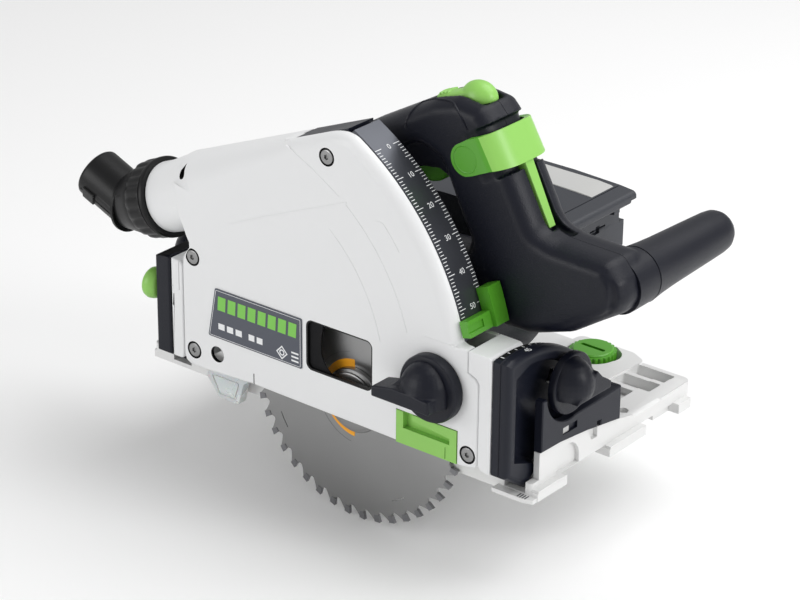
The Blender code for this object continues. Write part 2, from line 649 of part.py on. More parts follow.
def dust_outlet():
    """Ring nut and angled nozzle. Both turn about the axis of the spout."""
    tilt = math.radians(PORT_TILT)
    along = Vector((-math.cos(tilt), 0, -math.sin(tilt)))
    nut = tube("dust_ring_nut", PORT_CENTRE, along, 0.5, 19, PORT_RADIUS - 1.5, PORT_RADIUS + 3, 24, "black_plastic")
    elbow = Vector(PORT_CENTRE) + along * ELBOW_REACH
    rise = math.radians(NOZZLE_TILT)
    outward = Vector((-math.cos(rise), 0, math.sin(rise)))
    shape = [(-34, 0), (-34, 19.6), (-18, 19.6), (-17.6, 22.5), (-4, 18.5), (3, 16.5), (3, 0)]
    nozzle = turned("dust_nozzle", shape, elbow, along, 20, "black_plastic")
    pipe = rod("nozzle_pipe", elbow, outward, -3, NOZZLE_REACH, 16.5, 20, "black_plastic")
    join(nozzle, pipe)
    cut(nozzle, rod("nozzle_inlet", elbow, along, -40, -2, 13.8, 14, "black_plastic"))
    cut(nozzle, rod("nozzle_outlet", elbow, outward, -2, NOZZLE_REACH + 5, 13.8, 14, "black_plastic"))
    nut_joint = joint_frame("ring_nut_axis", PORT_CENTRE)
    nozzle_joint = joint_frame("nozzle_axis", elbow)
    carry(nut_joint, nut)
    carry(nozzle_joint, nozzle)
    return nut_joint, nozzle_joint


def kickback_flap():
    """Sprung feeler under the cover that senses when the saw lifts off the work."""
    x, z = FLAP_PIVOT
    outline = [(x + 4, z + 4), (x - 8, z + 4), (x - 12, 13), (-112, 13), (-115, 8), (-104, -5), (-88, -5),
               (-84, 10), (x + 4, z - 6)]
    flap = prism("kickback_flap", rounded(outline, 2, 2), "Y", -8, -1.3, "clear_plastic")
    cut(flap, rod("flap_bore", (x, 0, z), (0, 1, 0), -20, 20, 2.0, 12, "black_plastic"))
    pin = rod("flap_pin", (x, 0, z), (0, 1, 0), -11.2, -1.2, 1.7, 10, "bright_steel")
    joint = joint_frame("flap_axis", (x, 0, z))
    carry(joint, flap)
    return pin, joint


def release_button():
    y, z = RELEASE_BUTTON
    profile = [(133, 0), (133, 4.0), (151.4, 4.0), (152.5, 8.8), (165, 9.8), (168, 8.6), (168, 0)]
    button = turned("undercut_release", profile, (0, y, z), (-1, 0, 0), 16, "green_plastic")
    joint = joint_frame("release_axis", (-150, y, z))
    carry(joint, button)
    return joint


# Motor unit -------------------------------------------------------------------------------------------------


def gear_case():
    """Casting that swings on the plunge pivot and carries spindle, gears and motor."""
    spindle = (0.0, BLADE_Z)
    motor = (MOTOR_X, MOTOR_Z)
    case = prism("gear_case", capsule(spindle, motor, 22.4, 17.0, 9), "Y", 17, 44, "cast_aluminium")
    arm = prism("swing_arm", capsule(spindle, (PIVOT_X, PIVOT_Z), 20.0, 12.0, 8), "Y", 17, 23.6, "cast_aluminium")
    nose = rod("spindle_nose", (0, 0, BLADE_Z), (0, 1, 0), 7.6, 18, 16.4, 20, "cast_aluminium")
    join(case, arm, nose)
    cut(case, rod("pivot_bore", (PIVOT_X, 0, PIVOT_Z), (0, 1, 0), 10, 30, 6.4, 18, "black_plastic"))
    cut(case, prism("gear_room", capsule(spindle, motor, 20.6, 8.2, 9), "Y", 22, 36, "black_plastic"))
    bore = [(5, 0), (5, 12.0), (9, 12.0), (9, 13.4), (17, 13.4), (17, 8.4), (42, 8.4), (42, 0)]
    cut(case, turned("spindle_room", bore, (0, 0, BLADE_Z), (0, 1, 0), 18, "black_plastic"))
    cut(case, rod("shaft_room", (MOTOR_X, 0, MOTOR_Z), (0, 1, 0), 30, 50, 6.2, 18, "black_plastic"))
    return case


def blade_and_spindle():
    outline = toothed(0, BLADE_Z, BLADE_TEETH, 74.5, BLADE_RADIUS, 1.0, 0.42, FIRST_TOOTH)
    blade = prism("saw_blade", outline, "Y", -BLADE_HALF, BLADE_HALF, "blade_steel")
    cut(blade, rod("blade_bore", (0, 0, BLADE_Z), (0, 1, 0), -5, 5, 10.2, 18, "black_plastic"))
    centre = (0, 0, BLADE_Z)
    axis = (0, 1, 0)
    profile = [(-6.6, 0), (-6.6, 9.8), (7.0, 9.8), (7.0, 7.9), (39, 7.9), (39, 0)]
    spindle = turned("spindle", profile, centre, axis, 18, "bright_steel")
    cut(spindle, rod("bolt_bore", centre, axis, -10, 6, 4.4, 12, "black_plastic"))
    inner = tube("inner_flange", centre, axis, 1.1, 6.8, 10.2, FLANGE_RADIUS, 22, "bright_steel")
    outer = tube("outer_flange", centre, axis, -6.6, -1.1, 10.2, FLANGE_RADIUS, 22, "bright_steel")
    bolt = turned(
        "arbor_bolt",
        [(-11, 0), (-11, 7.5), (-7.1, 7.5), (-7.1, 4.0), (4, 4.0), (4, 0)],
        centre, axis, 12, "bright_steel",
    )
    cut(bolt, rod("hex_socket", centre, axis, -15, -8.4, 3.2, 6, "black_plastic"))
    phase = math.degrees(math.atan2(MOTOR_Z - BLADE_Z, MOTOR_X))
    root = MODULE * GEAR_TEETH / 2 - 1.1
    tip = MODULE * GEAR_TEETH / 2 + 0.8
    wheel = toothed(0, BLADE_Z, GEAR_TEETH, root, tip, 0.62, 0.26, phase)
    gear = prism("spindle_gear", wheel, "Y", 24, 34, "bright_steel")
    cut(gear, rod("gear_bore", centre, axis, 0, 50, 8.2, 18, "black_plastic"))
    bearing = tube("spindle_bearing", centre, axis, 9.2, 16.6, 8.1, 13.2, 18, "bright_steel")
    joint = joint_frame("spindle_axis", centre)
    carry(joint, blade, spindle, inner, outer, bolt, gear)
    return joint, bearing


def motor_pieces():
    centre = (MOTOR_X, 0, MOTOR_Z)
    axis = (0, 1, 0)
    wall = 2.6
    inside = MOTOR_RADIUS - wall
    room = [(40, 0), (40, 9), (47, 9), (47, inside), (127, inside), (134, inside - 4), (134, 0)]
    shell = turned(
        "motor_housing",
        [(44.4, 0), (44.4, MOTOR_RADIUS), (128, MOTOR_RADIUS), (138, MOTOR_RADIUS - 5), (138, 0)],
        centre, axis, 28, "navy_plastic",
    )
    cut(shell, turned("motor_room", room, centre, axis, 22, "black_plastic"))
    for k in range(3):
        z = MOTOR_Z - 12 + 12 * k
        vent = prism("motor_vent", rectangle(MOTOR_X - 14, z - 2, MOTOR_X + 14, z + 2), "Y", 130, 145,
                     "black_plastic")
        cut(shell, vent)
    stator = tube("stator", centre, axis, 62, 108, 17.4, 29.8, 20, "copper")
    rotor = turned(
        "rotor",
        [(24, 0), (24, 3.0), (60, 3.0), (60, 7.0), (64, 16.6), (106, 16.6), (108, 4.0), (126, 4.0), (126, 0)],
        centre, axis, 16, "bright_steel",
    )
    root = MODULE * PINION_TEETH / 2 - 1.1
    tip = MODULE * PINION_TEETH / 2 + 0.8
    phase = math.degrees(math.atan2(BLADE_Z - MOTOR_Z, -MOTOR_X)) + 180 / PINION_TEETH
    wheel = toothed(MOTOR_X, MOTOR_Z, PINION_TEETH, root, tip, 0.62, 0.2, phase)
    pinion = prism("motor_pinion", wheel, "Y", 24, 34, "bright_steel")
    cut(pinion, rod("pinion_bore", centre, axis, 20, 40, 3.2, 16, "black_plastic"))
    blades = toothed(MOTOR_X, MOTOR_Z, 9, 10.0, 27.0, 0.5, 0.4, 0)
    fan = prism("cooling_fan", blades, "Y", 112, 120, "black_plastic")
    cut(fan, rod("fan_bore", centre, axis, 100, 130, 4.2, 16, "black_plastic"))
    bearing = tube("rotor_bearing", centre, axis, 50, 57, 3.3, 9.5, 20, "bright_steel")
    board = rod("control_board", centre, axis, 128, 130, 27, 24, "green_plastic")
    joint = joint_frame("rotor_axis", centre)
    carry(joint, rotor, pinion, fan)
    return joint, [shell, stator, bearing, board]


def handle_outline():
    return [
        (-48, 86), (100, 88), (124, 90), (130, 98), (150, 101), (162, 110), (166, 122), (163, 136), (154, 146.5),
        (119, 147.5), (106, 150), (84.6, 192), (75, 207), (66.8, 219), (48, 221), (31, 215), (9.3, 202.6),
        (-22.7, 184.7), (-44, 168), (-56, 142), (-58, 104),
    ]


def grip_opening():
    return [(-22, 118), (48, 126), (57, 136), (52, 146), (37, 179), (22, 184), (2, 174), (-16, 162), (-28, 142)]


def on_post(out, up):
    """X and Z of a point given by its distances square to the front of the post and along it."""
    along = Vector((-POST_NORMAL.y, POST_NORMAL.x))
    return tuple(POST_NORMAL * out + along * up)


def handle_halves():
    """Two shells that meet on a seam in the middle of the grip and close round the switch."""
    made = []
    near, seam, far = HANDLE_Y
    low, high = BAND_HEIGHTS
    groove = [on_post(BAND_GROOVE, low - 0.6), on_post(185, low - 0.6), on_post(185, high + 5.6),
              on_post(BAND_GROOVE, high + 5.6)]
    arm_slot = [on_post(161.5, 73.4), on_post(185, 73.4), on_post(185, low + 8), on_post(162.5, low + 8)]
    for name, layers in (
        ("handle_right_half", ((near, 5.0), (near + 5, 0.0), (seam - 0.15, 0.0))),
        ("handle_left_half", ((seam + 0.15, 0.0), (far - 5, 0.0), (far, 5.0))),
    ):
        solid = []
        opening = []
        for y, inset in layers:
            solid.append((y, rounded(shrunk(handle_outline(), inset), 8, 2)))
            opening.append((y, rounded(shrunk(grip_opening(), -inset * 0.8), 7, 2)))
        half = loft(name, solid, "Y", "navy_plastic")
        reach = [(opening[0][0] - 1, opening[0][1])] + opening[1:-1] + [(opening[-1][0] + 1, opening[-1][1])]
        cut(half, loft(name + "_opening", reach, "Y", "black_plastic"))
        cut(half, prism(name + "_switch_room", SWITCH_ROOM, "Y", 34, 56, "black_plastic"))
        cut(half, prism(name + "_thumb_room", THUMB_ROOM, "Y", 35, 55, "black_plastic"))
        cut(half, prism(name + "_lever_groove", groove, "Y", near - 5, far + 5, "black_plastic"))
        cut(half, prism(name + "_arm_slot", arm_slot, "Y", 40, 51.6, "black_plastic"))
        made.append(half)
    return made


def shrunk(points, inset):
    """The polygon moved in by the inset, edge by edge."""
    if not inset:
        return points
    turn = 1 if signed_area(points) > 0 else -1
    result = []
    count = len(points)
    for i, corner in enumerate(points):
        here = Vector(corner)
        back = (here - Vector(points[i - 1])).normalized()
        ahead = (Vector(points[(i + 1) % count]) - here).normalized()
        normal_back = Vector((-back.y, back.x)) * turn
        normal_ahead = Vector((-ahead.y, ahead.x)) * turn
        bisector = (normal_back + normal_ahead).normalized()
        result.append(tuple(here + bisector * inset / max(0.5, bisector.dot(normal_back))))
    return result


def grip_controls():
    """Trigger, its switch, the thumb slide that frees the plunge, and the blade-change lever."""
    switch = prism("switch_module", [(4, 190), (33, 202), (36, 195.5), (7, 184)], "Y", 36, 54, "grey_plastic")
    trigger = prism("trigger", rounded(TRIGGER_SIDE, 3, 2), "Y", 37, 53, "green_plastic")
    trigger_joint = joint_frame("trigger_axis", (TRIGGER_PIVOT[0], 45, TRIGGER_PIVOT[1]))
    carry(trigger_joint, trigger)
    slide = prism("plunge_release_slide", rounded([(33, 213), (31, 216), (48, 227), (60, 225), (64, 221)], 2.5, 2),
                  "Y", 36.5, 53.5, "green_plastic")
    slide_joint = joint_frame("slide_axis", (48, 45, 219))
    carry(slide_joint, slide)
    return (switch,), (trigger_joint, slide_joint)


def blade_change_lever():
    """Forked lever: a cheek on each side of the post, a band round its front and an arm down a slot in it."""
    x, z = LEVER_PIVOT
    low, high = BAND_HEIGHTS
    cheek = arc(x, z, 10, 110, 280, 8) + [(72, 182.6), on_post(163, low + 4), on_post(BAND_OUTER, low),
                                          on_post(BAND_OUTER, high), on_post(163, high + 1.5)]
    lever = prism("blade_change_lever", cheek, "Y", 19.5, 24.6, "green_plastic")
    other = prism("lever_cheek", cheek, "Y", 65.4, 70.5, "green_plastic")
    band_side = [on_post(BAND_INNER, low), on_post(BAND_OUTER, low), on_post(BAND_OUTER, high),
                 on_post(BAND_INNER, high)]
    front = prism("lever_band", band_side, "Y", 22, 68, "green_plastic")
    arm_side = [on_post(164.5, low + 3), on_post(171.5, low + 3), on_post(168, 75.5), on_post(162.8, 75.5)]
    arm = prism("lever_arm", arm_side, "Y", 41.2, 48.8, "green_plastic")
    join(lever, other, front, arm)
    joint = joint_frame("lever_axis", (x, 45, z))
    carry(joint, lever)
    return joint


def side_handle():
    x, z = SIDE_HANDLE
    profile = [(65.4, 0), (65.4, 17.5), (80, 17.5), (110, 15), (143, 13.5), (150, 11), (153, 6), (153, 0)]
    return turned("side_handle", profile, (x, 0, z), (0, 1, 0), 20, "navy_plastic")


def battery_pieces():
    dock = prism("battery_dock", [(-38, 84), (80, 84), (80, 88), (-38, 88)], "Y", 70, 160, "navy_plastic")
    stem = prism("dock_stem", [(-20, MOTOR_Z + 20), (40, MOTOR_Z + 20), (40, 86), (-20, 86)], "Y", 75, 110,
                 "navy_plastic")
    cut(stem, rod("motor_clear", (MOTOR_X, 0, MOTOR_Z), (0, 1, 0), 60, 170, MOTOR_RADIUS + 0.4, 40, "black_plastic"))
    join(dock, stem)
    for y in (82, 150):
        join(dock, prism("dock_rail", rectangle(-36, 87, 70, 91), "Y", y, y + 4, "navy_plastic"))
    body = [(-40, 92), (78, 92), (78, 123), (86, 123), (86, 130), (60, 133), (0, 133), (-40, 128)]
    pack = prism("battery_pack", body, "Y", 80, 160, "grey_plastic")
    cut(pack, prism("pack_groove", rectangle(-50, 80, 90, 92.4), "Y", 60, 170, "black_plastic"))
    slide_joint = joint_frame("battery_axis", (-40, 120, 92))
    carry(slide_joint, pack)
    latch = prism("battery_latch", rounded(rectangle(-52, 108, -40.4, 126), 2, 2), "Y", 90, 112, "green_plastic")
    latch_joint = joint_frame("latch_axis", (LATCH_X, 101, 117), slide_joint)
    carry(latch_joint, latch)
    return dock, slide_joint, latch_joint


def speed_dial():
    x, z = DIAL_CENTRE
    wheel = toothed(x, z, 12, 7.4, 8.2, 0.9, 0.45, 0)
    dial = prism("speed_dial", wheel, "Y", 138.5, 143, "green_plastic")
    joint = joint_frame("dial_axis", (x, 138, z))
    carry(joint, dial)
    return joint


# Assembly ---------------------------------------------------------------------------------------------------


def hang(parent, *empties):
    """Parents joint empties without moving them."""
    for empty in empties:
        empty.parent = parent
        empty.location = Vector(empty["world"]) - Vector(parent["world"])


def build():
    clear_scene()
    base_pieces()
    clamp_knobs()
    rail_cams()

    tilt = joint_frame("tilt_axis", (0, 0, 0))
    carry(tilt, blade_cover(), inner_plate(), depth_scale(), top_cap(), label_plate())
    carry(tilt, *end_housings(), *quadrants(), *cover_screws(), *pivot_and_spring())
    stop, stop_joint = depth_stop()
    guard_joint = joint_frame("guard_axis", (63.5, FACE_Y, HOUSING_BOTTOM))
    carry(guard_joint, splinter_guard())
    knob, knob_joint = guard_knob()
    flap_pin, flap_joint = kickback_flap()
    carry(tilt, flap_pin)
    hang(tilt, stop_joint, guard_joint, knob_joint, flap_joint, release_button(), *dust_outlet())

    plunge = joint_frame("plunge_axis", (PIVOT_X, 0, PIVOT_Z), tilt)
    spindle_joint, spindle_bearing = blade_and_spindle()
    rotor_joint, motor_parts = motor_pieces()
    switch, control_joints = grip_controls()
    dock, battery_joint, latch_joint = battery_pieces()
    carry(plunge, gear_case(), spindle_bearing, *motor_parts, *handle_halves(), side_handle(), dock, *switch)
    hang(plunge, spindle_joint, rotor_joint, battery_joint, speed_dial(), blade_change_lever(), *control_joints)


build()
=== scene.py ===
from math import asin, cos, degrees, pi, radians, sin, sqrt, tan

import bmesh
import bpy
from mathutils import Matrix, Vector
from mathutils.bvhtree import BVHTree


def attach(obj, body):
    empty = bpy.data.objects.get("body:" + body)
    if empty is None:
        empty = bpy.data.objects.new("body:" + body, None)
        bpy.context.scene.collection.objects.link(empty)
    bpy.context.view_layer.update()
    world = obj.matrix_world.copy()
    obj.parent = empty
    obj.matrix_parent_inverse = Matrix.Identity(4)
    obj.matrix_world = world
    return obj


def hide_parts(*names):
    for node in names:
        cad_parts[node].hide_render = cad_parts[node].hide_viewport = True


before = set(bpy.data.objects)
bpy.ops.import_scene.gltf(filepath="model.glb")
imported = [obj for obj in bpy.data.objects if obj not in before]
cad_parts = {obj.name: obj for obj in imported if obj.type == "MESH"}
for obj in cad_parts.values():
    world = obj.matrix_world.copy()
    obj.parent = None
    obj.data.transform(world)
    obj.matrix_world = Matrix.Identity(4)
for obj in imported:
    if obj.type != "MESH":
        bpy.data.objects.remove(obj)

# Cordless track plunge saw, visual model. Lengths are in millimetres: +X is the cutting direction, +Y the
# motor side and +Z up, counted from the point of the base's underside that is below the blade axis.
# BASE_MIDDLE is the frame's origin in these lengths.

MM = 0.001
BASE_MIDDLE = Vector((-20.0, 88.6, 0.0))
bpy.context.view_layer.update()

PIVOT = (-80.0, 50.0)
BLADE_Z = 25.0
MOTOR = (10.0, 47.91)
FACE_Y = -14.0
RIM_Y = -7.3
WALL_Y = 12.7
ARC_RADIUS = 170.0
TOP_SLOPE = 0.4
TOP_POINT = (-147.4, 141.0)
SEAM_Y = 45.0
ACROSS = (0, 1, 0)
UPWARD = (0, 0, 1)
CLAMP = (36.25, 62.79)
GUARD_KNOB = (69.0, 60.7)
LEVER_PIVOT = (62.0, 188.0)
SIDE_HANDLE = (151.0, 127.0)
RAIL_CAMS = (("front", 60, 158), ("rear", -120, 158))
FLOOR_Z = -56
FLOOR_SIZE = 6000
WELD = 0.004
FLAT_ANGLE = 0.4
PORT = Vector((-155.0, 8.2, 111.0))
PORT_AXIS = Vector((-cos(radians(21)), 0, -sin(radians(21))))
TAB_LEAN = Vector((0.94, 0.34)).length
NOZZLE_AXIS = Vector((-cos(radians(23)), 0, sin(radians(23))))
ELBOW = PORT + PORT_AXIS * 37

# Finishes: colour, roughness, metallic, grain depth (mm), grains per mm ------------------------------------

FINISHES = {
    "paint": ((0.80, 0.805, 0.81), 0.38, 0.0, 0.02, 1.6),
    "cast": ((0.76, 0.76, 0.755), 0.42, 0.15, 0.05, 1.4),
    "navy": ((0.0045, 0.0055, 0.012), 0.40, 0.0, 0.14, 1.5),
    "navy_smooth": ((0.0075, 0.009, 0.017), 0.38, 0.0, 0.04, 1.5),
    "black": ((0.004, 0.004, 0.0045), 0.38, 0.0, 0.06, 1.3),
    # painted shade: a near-black matte that the cutters leave on the walls of holes, slots and recesses,
    # standing for the shade inside them
    "painted_hollow_shade": ((0.004, 0.004, 0.005), 0.85, 0.0, 0.0, 1.0),
    "green": ((0.085, 0.34, 0.020), 0.36, 0.0, 0.03, 1.5),
    "light_green": ((0.27, 0.58, 0.11), 0.36, 0.0, 0.03, 1.5),
    "steel": ((0.31, 0.31, 0.31), 0.32, 1.0, 0.01, 1.0),
    "carbide": ((0.22, 0.22, 0.23), 0.32, 0.9, 0.03, 2.0),
    "orange": ((0.85, 0.36, 0.01), 0.42, 0.0, 0.01, 1.0),
    "scale": ((0.09, 0.095, 0.11), 0.30, 0.7, 0.01, 1.5),
    "white_ink": ((0.82, 0.83, 0.84), 0.5, 0.0, 0.0, 1.0),
    "label": ((0.038, 0.044, 0.060), 0.36, 0.1, 0.01, 1.5),
    "label_green": ((0.20, 0.56, 0.08), 0.40, 0.0, 0.0, 1.0),
    "pack_dark": ((0.030, 0.033, 0.042), 0.48, 0.0, 0.06, 1.8),
    "pack_light": ((0.52, 0.52, 0.51), 0.45, 0.0, 0.05, 1.8),
    "copper": ((0.62, 0.28, 0.13), 0.38, 1.0, 0.02, 1.0),
    "clear": ((0.86, 0.87, 0.87), 0.28, 0.0, 0.01, 1.0),
}

DULL = ("navy", "navy_smooth", "black", "painted_hollow_shade")


def finish(name):
    """Principled material with a fine procedural grain and a slight change of roughness over the surface."""
    found = bpy.data.materials.get(name)
    if found:
        return found
    colour, roughness, metallic, depth, density = FINISHES[name]
    made = bpy.data.materials.new(name)
    made.use_nodes = True
    tree = made.node_tree
    shader = tree.nodes["Principled BSDF"]
    shader.inputs["Base Color"].default_value = (*colour, 1.0)
    shader.inputs["Metallic"].default_value = metallic
    if name in DULL:
        shader.inputs["Specular IOR Level"].default_value = 0.3
    place_node = tree.nodes.new("ShaderNodeTexCoord")
    blotch = tree.nodes.new("ShaderNodeTexNoise")
    blotch.inputs["Scale"].default_value = 45
    spread = tree.nodes.new("ShaderNodeMapRange")
    spread.inputs["To Min"].default_value = roughness - 0.04
    spread.inputs["To Max"].default_value = roughness + 0.04
    tree.links.new(place_node.outputs["Object"], blotch.inputs["Vector"])
    tree.links.new(blotch.outputs["Fac"], spread.inputs["Value"])
    tree.links.new(spread.outputs["Result"], shader.inputs["Roughness"])
    if depth:
        grain = tree.nodes.new("ShaderNodeTexNoise")
        grain.inputs["Scale"].default_value = density / MM
        grain.inputs["Detail"].default_value = 3
        bump = tree.nodes.new("ShaderNodeBump")
        bump.inputs["Strength"].default_value = 1.0
        bump.inputs["Distance"].default_value = depth * MM
        tree.links.new(place_node.outputs["Object"], grain.inputs["Vector"])
        tree.links.new(grain.outputs["Fac"], bump.inputs["Height"])
        tree.links.new(bump.outputs["Normal"], shader.inputs["Normal"])
    if name == "clear":
        shader.inputs["Transmission Weight"].default_value = 0.35
        shader.inputs["Subsurface Weight"].default_value = 0.2
    return made


def brushed_steel():
    """Steel brushed in circles about the blade's own middle."""
    made = finish("steel").copy()
    made.name = "brushed_steel"
    tree = made.node_tree
    shader = tree.nodes["Principled BSDF"]
    shader.inputs["Anisotropic"].default_value = 0.75
    tangent = tree.nodes.new("ShaderNodeTangent")
    tangent.direction_type = "RADIAL"
    tangent.axis = "Y"
    tree.links.new(tangent.outputs["Tangent"], shader.inputs["Tangent"])
    return made


# Outlines ---------------------------------------------------------------------------------------------------


def arc(cx, cy, radius, start, stop, steps):
    angles = [radians(start + (stop - start) * i / steps) for i in range(steps + 1)]
    return [(cx + radius * cos(a), cy + radius * sin(a)) for a in angles]


def rectangle(low_u, low_v, high_u, high_v):
    return [(low_u, low_v), (high_u, low_v), (high_u, high_v), (low_u, high_v)]


def rounded(points, radius, steps=4):
    """The polygon with each corner turned into an arc; radius is one number or one for each corner."""
    radii = radius if isinstance(radius, (list, tuple)) else [radius] * len(points)
    result = []
    for i, corner in enumerate(points):
        here = Vector(corner)
        if radii[i] <= 0:
            result.append(tuple(corner))
            continue
        back = Vector(points[i - 1]) - here
        ahead = Vector(points[(i + 1) % len(points)]) - here
        half = back.angle(ahead) / 2
        reach = min(radii[i] / tan(half), back.length * 0.48, ahead.length * 0.48)
        size = reach * tan(half)
        start = here + back.normalized() * reach
        stop = here + ahead.normalized() * reach
        centre = here + (back.normalized() + ahead.normalized()).normalized() * (size / sin(half))
        for k in range(steps + 1):
            spoke = (start - centre).lerp(stop - centre, k / steps).normalized() * size
            result.append(tuple(centre + spoke))
    return result


def signed_area(points):
    return sum(points[i - 1][0] * points[i][1] - points[i][0] * points[i - 1][1]
        for i in range(len(points))) / 2


def shrunk(points, inset):
    """The polygon moved in; inset is one number or one for each corner."""
    insets = inset if isinstance(inset, (list, tuple)) else [inset] * len(points)
    turn = 1 if signed_area(points) > 0 else -1
    result = []
    for i, corner in enumerate(points):
        here = Vector(corner)
        back = (here - Vector(points[i - 1])).normalized()
        ahead = (Vector(points[(i + 1) % len(points)]) - here).normalized()
        normal_back = Vector((-back.y, back.x)) * turn
        normal_ahead = Vector((-ahead.y, ahead.x)) * turn
        bisector = (normal_back + normal_ahead).normalized()
        result.append(tuple(here + bisector * insets[i] / max(0.5, bisector.dot(normal_back))))
    return result


def scalloped(cx, cy, waves, radius, depth, steps):
    """A circle whose edge is a row of rounded ribs."""
    points = []
    for i in range(waves * steps):
        a = 2 * pi * i / (waves * steps)
        r = radius - depth * (0.5 + 0.5 * cos(waves * a)) ** 2
        points.append((cx + r * cos(a), cy + r * sin(a)))
    return points


# Solids -----------------------------------------------------------------------------------------------------


def place(axis, depth, u, v):
    if axis == "X":
        return Vector((depth, u, v))
    if axis == "Y":
        return Vector((u, depth, v))
    return Vector((u, v, depth))


def new_piece(name, build_mesh, look, sharp=32):
    bmesh.ops.translate(build_mesh, vec=-BASE_MIDDLE, verts=build_mesh.verts)
    bmesh.ops.scale(build_mesh, vec=(MM, MM, MM), verts=build_mesh.verts)
    bmesh.ops.recalc_face_normals(build_mesh, faces=build_mesh.faces)
    mesh = bpy.data.meshes.new(name)
    build_mesh.to_mesh(mesh)
    build_mesh.free()
    mesh.shade_smooth()
    mesh.set_sharp_from_angle(angle=radians(sharp))
    piece = bpy.data.objects.new(name, mesh)
    bpy.context.scene.collection.objects.link(piece)
    mesh.materials.append(finish(look))
    return piece


def skin(name, rings, look="painted_hollow_shade", closed=False, sharp=32):
    """A surface through rings of points with the same count."""
    build_mesh = bmesh.new()
    made = [[build_mesh.verts.new(point) for point in ring] for ring in rings]
    pairs = list(zip(made, made[1:]))
    if closed:
        pairs.append((made[-1], made[0]))
    for low, high in pairs:
        for i in range(len(low)):
            build_mesh.faces.new((low[i - 1], low[i], high[i], high[i - 1]))
    if not closed:
        build_mesh.faces.new(made[0])
        build_mesh.faces.new(list(reversed(made[-1])))
    return new_piece(name, build_mesh, look, sharp)


def loft(name, layers, axis, look="painted_hollow_shade"):
    return skin(name, [[place(axis, depth, u, v) for u, v in ring] for depth, ring in layers], look)


def prism(name, outline, axis, low, high, look="painted_hollow_shade"):
    return loft(name, [(low, outline), (high, outline)], axis, look)


def slab(name, outline, axis, low, high, edge, look):
    """A prism whose two rims are rounded."""
    steps = 3
    layers = []
    for k in range(steps + 1):
        a = pi / 2 * k / steps
        layers.append((low + edge * (1 - sin(a)), shrunk(outline, edge * (1 - cos(a)))))
    layers.reverse()
    for k in range(steps + 1):
        a = pi / 2 * k / steps
        layers.append((high - edge * (1 - sin(a)), shrunk(outline, edge * (1 - cos(a)))))
    return soften(loft(name, layers, axis, look), 0)


def turned(name, profile, centre, direction, steps, look="painted_hollow_shade", sharp=32):
    """A solid of revolution from (distance along, radius) pairs; without a zero radius it is a ring."""
    build_mesh = bmesh.new()
    closed = profile[0][1] > 0
    turn = Vector((0, 0, 1)).rotation_difference(Vector(direction).normalized()).to_matrix()
    rings = []
    for along, radius in profile:
        ring = []
        for i in range(steps if radius > 0 else 1):
            a = 2 * pi * i / steps
            spot = turn @ Vector((radius * cos(a), radius * sin(a), along))
            ring.append(build_mesh.verts.new(spot + Vector(centre)))
        rings.append(ring)
    pairs = list(zip(rings, rings[1:]))
    if closed:
        pairs.append((rings[-1], rings[0]))
    for low, high in pairs:
        for i in range(steps):
            if len(low) == 1:
                corners = [low[0], high[i], high[i - 1]]
            elif len(high) == 1:
                corners = [low[i - 1], low[i], high[0]]
            else:
                corners = [low[i - 1], low[i], high[i], high[i - 1]]
            build_mesh.faces.new(corners)
    return new_piece(name, build_mesh, look, sharp)


def rod(name, centre, direction, low, high, radius, steps, look="painted_hollow_shade"):
    return turned(name, [(low, 0), (low, radius), (high, radius), (high, 0)], centre, direction, steps, look)


def sweep(name, points, radius, look, sides=8):
    """A round bead along a line of points."""
    rings = []
    for i, point in enumerate(points):
        ahead = (points[min(i + 1, len(points) - 1)] - points[max(i - 1, 0)]).normalized()
        side = ahead.cross(Vector((0.3, 0.2, 0.93))).normalized()
        up = side.cross(ahead)
        ring = []
        for k in range(sides):
            a = 2 * pi * k / sides
            ring.append(point + side * radius * cos(a) + up * radius * sin(a))
        rings.append(ring)
    return skin(name, rings, look, sharp=60)


def combine(target, tools, operation):
    for tool in tools:
        step = target.modifiers.new(tool.name, "BOOLEAN")
        step.operation = operation
        step.solver = "MANIFOLD"
        step.object = tool
    bake(target)
    for tool in tools:
        bpy.data.objects.remove(tool)
    return target


# The faces that a cutter leaves take its finish; cutters default to the near-black painted shade of hollows.
def cut(target, *tools):
    return combine(target, tools, "DIFFERENCE")


def join(target, *tools):
    return combine(target, tools, "UNION")


def one_look(piece):
    """Gives the faces left by the cutters the finish of the piece instead of the cutters' near-black painted
    shade.
    """
    for face in piece.data.polygons:
        face.material_index = 0
    while len(piece.data.materials) > 1:
        piece.data.materials.pop()
    return piece


def bake(piece):
    """Applies the modifiers of a piece."""
    graph = bpy.context.evaluated_depsgraph_get()
    mesh = bpy.data.meshes.new_from_object(piece.evaluated_get(graph))
    piece.modifiers.clear()
    piece.data = mesh
    return piece


def add_rounding(piece, width, segments, angle):
    step = piece.modifiers.new("rounding", "BEVEL")
    step.width = width * MM
    step.segments = segments
    step.limit_method = "ANGLE"
    step.angle_limit = radians(angle)


def soften(piece, width, segments=3, angle=35, sharp=40):
    """Cleans the mesh, rounds its sharp edges and gives the flat faces clean normals."""
    build_mesh = bmesh.new()
    build_mesh.from_mesh(piece.data)
    bmesh.ops.remove_doubles(build_mesh, verts=build_mesh.verts, dist=WELD * MM)
    bmesh.ops.dissolve_limit(build_mesh, angle_limit=radians(FLAT_ANGLE), verts=build_mesh.verts,
        edges=build_mesh.edges)
    build_mesh.to_mesh(piece.data)
    build_mesh.free()
    piece.data.shade_smooth()
    if width:
        add_rounding(piece, width, segments, angle)
    bake(piece)
    piece.data.shade_smooth()
    piece.data.set_sharp_from_angle(angle=radians(sharp))
    normals = piece.modifiers.new("normals", "WEIGHTED_NORMAL")
    normals.keep_sharp = True
    bake(piece)
    return piece


def fit(piece, body, *nodes, slot=None):
    """The piece rides on a CAD body and stands for the named CAD nodes; the slot argument is not used."""
    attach(piece, body)
    if nodes:
        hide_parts(*nodes)
        piece.name = nodes[0] + "_visual"


